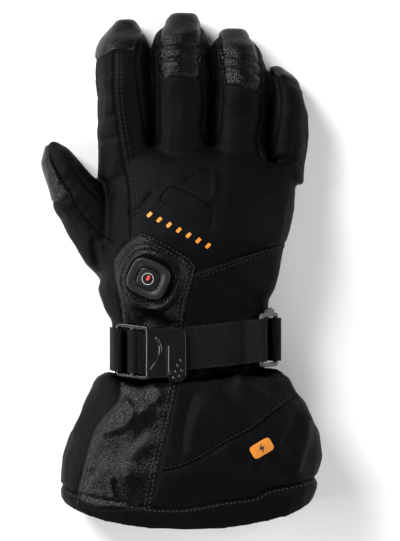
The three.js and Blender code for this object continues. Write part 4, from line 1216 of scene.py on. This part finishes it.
def make_pad():
    """The housing of the control, seated in the leather, with a well for the key."""
    bm = bmesh.new()
    place = pad_frame()
    top = KEY_HEIGHT / 2 - KEY_RISE
    rings = plate_rings(PAD_SIZE, top - PAD_HEIGHT, top, place, PAD_EDGE)
    well = [side + 2 * WELL_GAP for side in BUTTON_SIZE]
    rings += [plate_ring(well, height, place) for height in (top, top - WELL_DEPTH)]
    lofted(bm, rings)
    bmesh.ops.recalc_face_normals(bm, faces=bm.faces)
    tint = colours().pad
    pad = from_bmesh("pad_housing", bm, finish_of("pad", plastic, "pad", tint, 0.45, 0.04))
    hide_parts("control_pad")
    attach(pad, BODY)


def make_key():
    """The push key with its plain ring and small lamp."""
    place = pad_frame()
    middle, side, up, out = place
    bm = bmesh.new()
    lofted(bm, plate_rings(BUTTON_SIZE, -KEY_HEIGHT / 2, KEY_HEIGHT / 2, place, KEY_EDGE))
    bmesh.ops.recalc_face_normals(bm, faces=bm.faces)
    key = from_bmesh("power_key", bm, finish_of("key", plastic, "key", colours().key, 0.3, 0.02))
    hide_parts("power_button")
    bm = bmesh.new()
    matrix = Matrix((side, up, out)).transposed().to_4x4()
    matrix.translation = middle + out * (KEY_HEIGHT / 2 + 0.05 * MM)
    ring = bmesh.ops.create_circle(bm, cap_ends=False, radius=RING_RADII[0], segments=48, matrix=matrix)
    edges = list({e for v in ring["verts"] for e in v.link_edges})
    extruded = bmesh.ops.extrude_edge_only(bm, edges=edges)
    for v in [g for g in extruded["geom"] if isinstance(g, bmesh.types.BMVert)]:
        v.co = matrix.translation + (v.co - matrix.translation) * (RING_RADII[1] / RING_RADII[0])
    ring = from_bmesh("light_ring", bm, finish_of("ring", plastic, "ring", colours().ring, 0.4, 0.02))
    solid = ring.modifiers.new("thickness", "SOLIDIFY")
    solid.thickness = 0.12 * MM
    bm = bmesh.new()
    bar = matrix @ Matrix.Translation((0, 0.6 * MM, 0)) @ Matrix.Diagonal((*LAMP_RADII, 1))
    bmesh.ops.create_icosphere(bm, subdivisions=3, radius=1.0, matrix=bar)
    red = from_bmesh("red_light", bm, finish_of("glow", glowing, "glow", colours().glow, 1.6))
    for piece in (key, ring, red):
        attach(piece, "button")


def decal(name, outline, material, lift=0.12 * MM, cuts=10):
    """A thin print laid on the surface, cut from a fine grid by its outline."""
    tree = SOFT["tree"]
    low, high = outline.min(0), outline.max(0)
    bm = bmesh.new()
    size = max(high - low) / 2
    centre = (low + high) / 2
    bmesh.ops.create_grid(bm, x_segments=cuts * 4, y_segments=cuts * 4, size=size * 1.02,
                          matrix=Matrix.Translation((centre[0], centre[1], 0)))
    layer = bm.verts.layers.float.new("inside")
    distance = inside_distance(np.array([v.co[:2] for v in bm.verts]), outline)
    for vert, value in zip(bm.verts, distance):
        vert[layer] = float(value)
    cut_field(bm, layer)
    outside = [f for f in bm.faces if sum(v[layer] for v in f.verts) <= 0]
    bmesh.ops.delete(bm, geom=outside, context="FACES")
    for vert in bm.verts:
        point, normal = drop(tree, vert.co.x, vert.co.y)
        vert.co = point + normal * lift
    bm.normal_update()
    piece = from_bmesh(name, bm, material)
    solid = piece.modifiers.new("thickness", "SOLIDIFY")
    solid.thickness = lift
    solid.offset = -1
    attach(piece, BODY)
    return piece


def turned(points, angle):
    """Points on the plane, turned about the origin by an angle in degrees."""
    sine, cosine = math.sin(math.radians(angle)), math.cos(math.radians(angle))
    return points @ np.array([[cosine, sine], [-sine, cosine]])


def make_prints():
    """The battery badge, its bolt and the row of plain marks."""
    orange = finish_of("orange_print", printed, "orange_print", colours().orange_print)
    dark = finish_of("dark_print", printed, "dark_print", colours().dark_print)
    centre = np.array(spot(BADGE["centre"]))
    badge = superellipse(np.array(BADGE["size"]) * MM, 5.0, 48)
    decal("battery_badge", turned(badge, BADGE["turn"]) + centre, orange, cuts=14)
    bolt = np.array(BOLT) * BOLT_SCALE
    decal("badge_bolt", turned(bolt, BADGE["turn"]) + centre, dark, lift=0.26 * MM, cuts=12)
    first, last = np.array(spot(MARKS["start"])), np.array(spot(MARKS["end"]))
    turn = math.degrees(math.atan2(*(last - first)[::-1])) + MARKS["lean"]
    mark = turned(superellipse(np.array(MARKS["size"]) * MM, 6.0, 24), turn)
    count = sizes().mark_count
    for k in range(count):
        decal(f"mark_{k + 1}", mark + first + (last - first) * k / max(count - 1, 1), orange, cuts=5)


def make_stage():
    """Pale floor, soft studio lights, dim surroundings and the camera of the photograph."""
    studio = bpy.context.scene.glove_studio
    scene = bpy.context.scene
    bm = bmesh.new()
    bmesh.ops.create_grid(bm, x_segments=1, y_segments=1, size=FLOOR_SIZE)
    from_bmesh("floor", bm, finish_of("floor", floor_finish))
    world = bpy.data.worlds.new("studio")
    world.use_nodes = True
    world.node_tree.nodes["Background"].inputs["Color"].default_value = (1, 1, 1, 1)
    world.node_tree.nodes["Background"].inputs["Strength"].default_value = studio.surroundings
    scene.world = world
    scene.view_settings.view_transform = "Standard"
    for name, lamp in STUDIO_LIGHTS.items():
        light = bpy.data.lights.new(name, "AREA")
        light.energy = getattr(studio, name + "_power")
        light.size = lamp["width"]
        holder = bpy.data.objects.new(name, light)
        holder.location = lamp["place"]
        holder.rotation_mode = "QUATERNION"
        holder.rotation_quaternion = (-Vector(lamp["place"])).to_track_quat("-Z", "Y")
        scene.collection.objects.link(holder)
    data = bpy.data.cameras.new("camera")
    data.lens = studio.lens
    camera = bpy.data.objects.new("camera", data)
    scene.collection.objects.link(camera)
    distance = PHOTO_SIZE[1] * PIXEL * data.lens / data.sensor_width
    middle = spot((PHOTO_SIZE[0] / 2, PHOTO_SIZE[1] / 2))
    camera.location = (middle.x, middle.y, distance + CAMERA_RISE)
    data.clip_start = 0.01
    scene.camera = camera


def size_of(name, about, default):
    return bpy.props.FloatProperty(name=name, description=about, default=default, min=0.0, precision=4,
                                   subtype="DISTANCE", unit="LENGTH")


def tint_of(name, about, default):
    return bpy.props.FloatVectorProperty(name=name, description=about, default=default, size=3,
                                         min=0.0, max=1.0, subtype="COLOR")


def power_of(name, about, default):
    return bpy.props.FloatProperty(name=name, description=about, default=default, min=0.0, unit="POWER")


class GloveSizes(bpy.types.PropertyGroup):
    """Sizes of the soft parts and trim."""

    cloth_pressure: bpy.props.FloatProperty(
        name="Cloth pressure", description="Pressure of the padding on the cloth", default=4.0, min=0.0)
    cloth_puff: size_of("Cloth puff", "Most that the padding moves the cloth", 1.6 * MM)
    fold_share: bpy.props.FloatProperty(
        name="Folds", description="Share of the depth of every fold", default=1.0, min=0.0, max=1.5,
        subtype="FACTOR")
    wrinkle_height: size_of("Wrinkles", "Height of the small wrinkles", 0.3 * MM)
    seam_depth: size_of("Seam depth", "Depth of the seams between pieces of cloth", 0.75 * MM)
    leather_thickness: size_of("Leather thickness", "Thickness of the leather pieces", 1.0 * MM)
    leather_rise: size_of("Leather rise", "Rise of the leather above the cloth", 0.5 * MM)
    leather_seam: size_of("Leather seam", "Depth of the seam round the leather", 0.55 * MM)
    rim_rise: size_of("Padded ring", "Rise of the padded ring round the control", 3.8 * MM)
    stitch_length: size_of("Stitch length", "Length of one stitch", 1.9 * MM)
    stitch_pitch: size_of("Stitch pitch", "Distance from one stitch to the next", 2.6 * MM)
    stitch_radius: size_of("Stitch radius", "Radius of the sewing thread", 0.24 * MM)
    mark_count: bpy.props.IntProperty(
        name="Marks", description="Number of plain marks on the back of the hand", default=7, min=1, max=12)


class GloveColours(bpy.types.PropertyGroup):
    """Colours of the materials."""

    cloth: tint_of("Cloth", "Softshell of the hand and cuff", (0.0011, 0.0014, 0.0018))
    leather: tint_of("Leather", "Leather of the palm, caps and panel", (0.0016, 0.0017, 0.0017))
    lining: tint_of("Lining", "Brushed lining", (0.02, 0.02, 0.022))
    webbing: tint_of("Webbing", "Raised threads of the straps", (0.009, 0.0096, 0.0096))
    plastic: tint_of("Plastic", "Ladder buckle and pull tab", (0.004, 0.0041, 0.0046))
    clip: tint_of("Clip", "Side clip", (0.05, 0.052, 0.052))
    pad: tint_of("Pad", "Housing of the control", (0.006, 0.0062, 0.006))
    key: tint_of("Key", "Push key", (0.007, 0.007, 0.0075))
    ring: tint_of("Ring", "Thin ring on the key", (0.3, 0.31, 0.32))
    glow: tint_of("Lamp", "Small lamp on the key", (0.9, 0.03, 0.025))
    thread: tint_of("Thread", "Sewing thread on the cloth", (0.012, 0.0124, 0.014))
    light_thread: tint_of("Light thread", "Sewing thread on the leather", (0.04, 0.041, 0.043))
    orange_print: tint_of("Orange print", "Badge and marks", (0.6, 0.2, 0.012))
    dark_print: tint_of("Dark print", "Bolt on the badge", (0.012, 0.012, 0.014))
    floor: tint_of("Floor", "Pale floor", (0.88, 0.88, 0.882))


class GloveStudio(bpy.types.PropertyGroup):
    """Lights and lens."""

    key_power: power_of("Key light", "Power of the light from the upper left", 28.0)
    left_power: power_of("Left light", "Power of the low light from the left", 14.0)
    right_power: power_of("Right light", "Power of the fill from the right", 12.0)
    near_power: power_of("Near light", "Power of the light from the cuff end", 8.0)
    surroundings: bpy.props.FloatProperty(
        name="Surroundings", description="Brightness of the surroundings", default=0.13, min=0.0)
    lens: bpy.props.FloatProperty(
        name="Lens", description="Focal length of the camera", default=300.0, min=10.0, unit="CAMERA")


class GLOVE_OT_soft_pieces(bpy.types.Operator):
    """Build the cloth, leather and hem that make up the outside"""

    bl_idname = "glove.soft_pieces"
    bl_label = "Soft pieces"

    def execute(self, context):
        make_soft()
        return {"FINISHED"}


class GLOVE_OT_lining(bpy.types.Operator):
    """Build the lining inside the cuff and hand"""

    bl_idname = "glove.lining"
    bl_label = "Lining"

    def execute(self, context):
        make_lining()
        return {"FINISHED"}


class GLOVE_OT_webbing(bpy.types.Operator):
    """Build the woven strap and its two loops"""

    bl_idname = "glove.webbing"
    bl_label = "Webbing"

    def execute(self, context):
        for name in ("wrist_strap", "buckle_loop", "clip_loop"):
            webbing_piece(name)
        return {"FINISHED"}


class GLOVE_OT_buckles(bpy.types.Operator):
    """Build the ladder buckle with its pull tab and the side clip"""

    bl_idname = "glove.buckles"
    bl_label = "Buckles"

    def execute(self, context):
        black = finish_of("plastic", plastic, "plastic", colours().plastic, 0.2, 0.02)
        grey = finish_of("clip", plastic, "clip", colours().clip, 0.3, 0.02)
        moulded("ladder_buckle", TAB_RIDGES, TAB_STUDS, black)
        moulded("side_clip", CLIP_RIDGES, (), grey)
        return {"FINISHED"}


class GLOVE_OT_pad(bpy.types.Operator):
    """Build the housing of the control"""

    bl_idname = "glove.pad"
    bl_label = "Control housing"

    def execute(self, context):
        make_pad()
        return {"FINISHED"}


class GLOVE_OT_key(bpy.types.Operator):
    """Build the push key with its ring and lamp"""

    bl_idname = "glove.key"
    bl_label = "Push key"

    def execute(self, context):
        make_key()
        return {"FINISHED"}


class GLOVE_OT_stitches(bpy.types.Operator):
    """Sew the rows of stitches; needs the soft pieces"""

    bl_idname = "glove.stitches"
    bl_label = "Stitches"

    def execute(self, context):
        make_stitches()
        return {"FINISHED"}


class GLOVE_OT_prints(bpy.types.Operator):
    """Lay the badge and the plain marks on the cloth; needs the soft pieces"""

    bl_idname = "glove.prints"
    bl_label = "Prints"

    def execute(self, context):
        make_prints()
        return {"FINISHED"}


class GLOVE_OT_stage(bpy.types.Operator):
    """Set the floor, lights, surroundings and camera"""

    bl_idname = "glove.stage"
    bl_label = "Stage"

    def execute(self, context):
        make_stage()
        return {"FINISHED"}


OPERATORS = (GLOVE_OT_soft_pieces, GLOVE_OT_lining, GLOVE_OT_webbing, GLOVE_OT_buckles, GLOVE_OT_pad,
             GLOVE_OT_key, GLOVE_OT_stitches, GLOVE_OT_prints, GLOVE_OT_stage)


class GLOVE_PT_build(bpy.types.Panel):
    """Lists the steps, sizes and colours of the glove"""

    bl_label = "Heated glove"
    bl_space_type = "VIEW_3D"
    bl_region_type = "UI"
    bl_category = "Glove"

    def draw(self, context):
        column = self.layout.column()
        for operator in OPERATORS:
            column.operator(operator.bl_idname)
        for settings in (context.scene.glove_sizes, context.scene.glove_colours, context.scene.glove_studio):
            for name in settings.__annotations__:
                column.prop(settings, name)


GROUPS = {"glove_sizes": GloveSizes, "glove_colours": GloveColours, "glove_studio": GloveStudio}


def register():
    for made in (*GROUPS.values(), *OPERATORS, GLOVE_PT_build):
        bpy.utils.register_class(made)
    for name, group in GROUPS.items():
        setattr(bpy.types.Scene, name, bpy.props.PointerProperty(type=group))


def unregister():
    for name in GROUPS:
        delattr(bpy.types.Scene, name)
    for made in (GLOVE_PT_build, *reversed(OPERATORS), *GROUPS.values()):
        bpy.utils.unregister_class(made)


def main():
    register()
    bpy.ops.glove.soft_pieces()
    bpy.ops.glove.lining()
    bpy.ops.glove.webbing()
    bpy.ops.glove.buckles()
    bpy.ops.glove.pad()
    bpy.ops.glove.key()
    bpy.ops.glove.stitches()
    bpy.ops.glove.prints()
    bpy.ops.glove.stage()


if __name__ == "__main__":
    main()
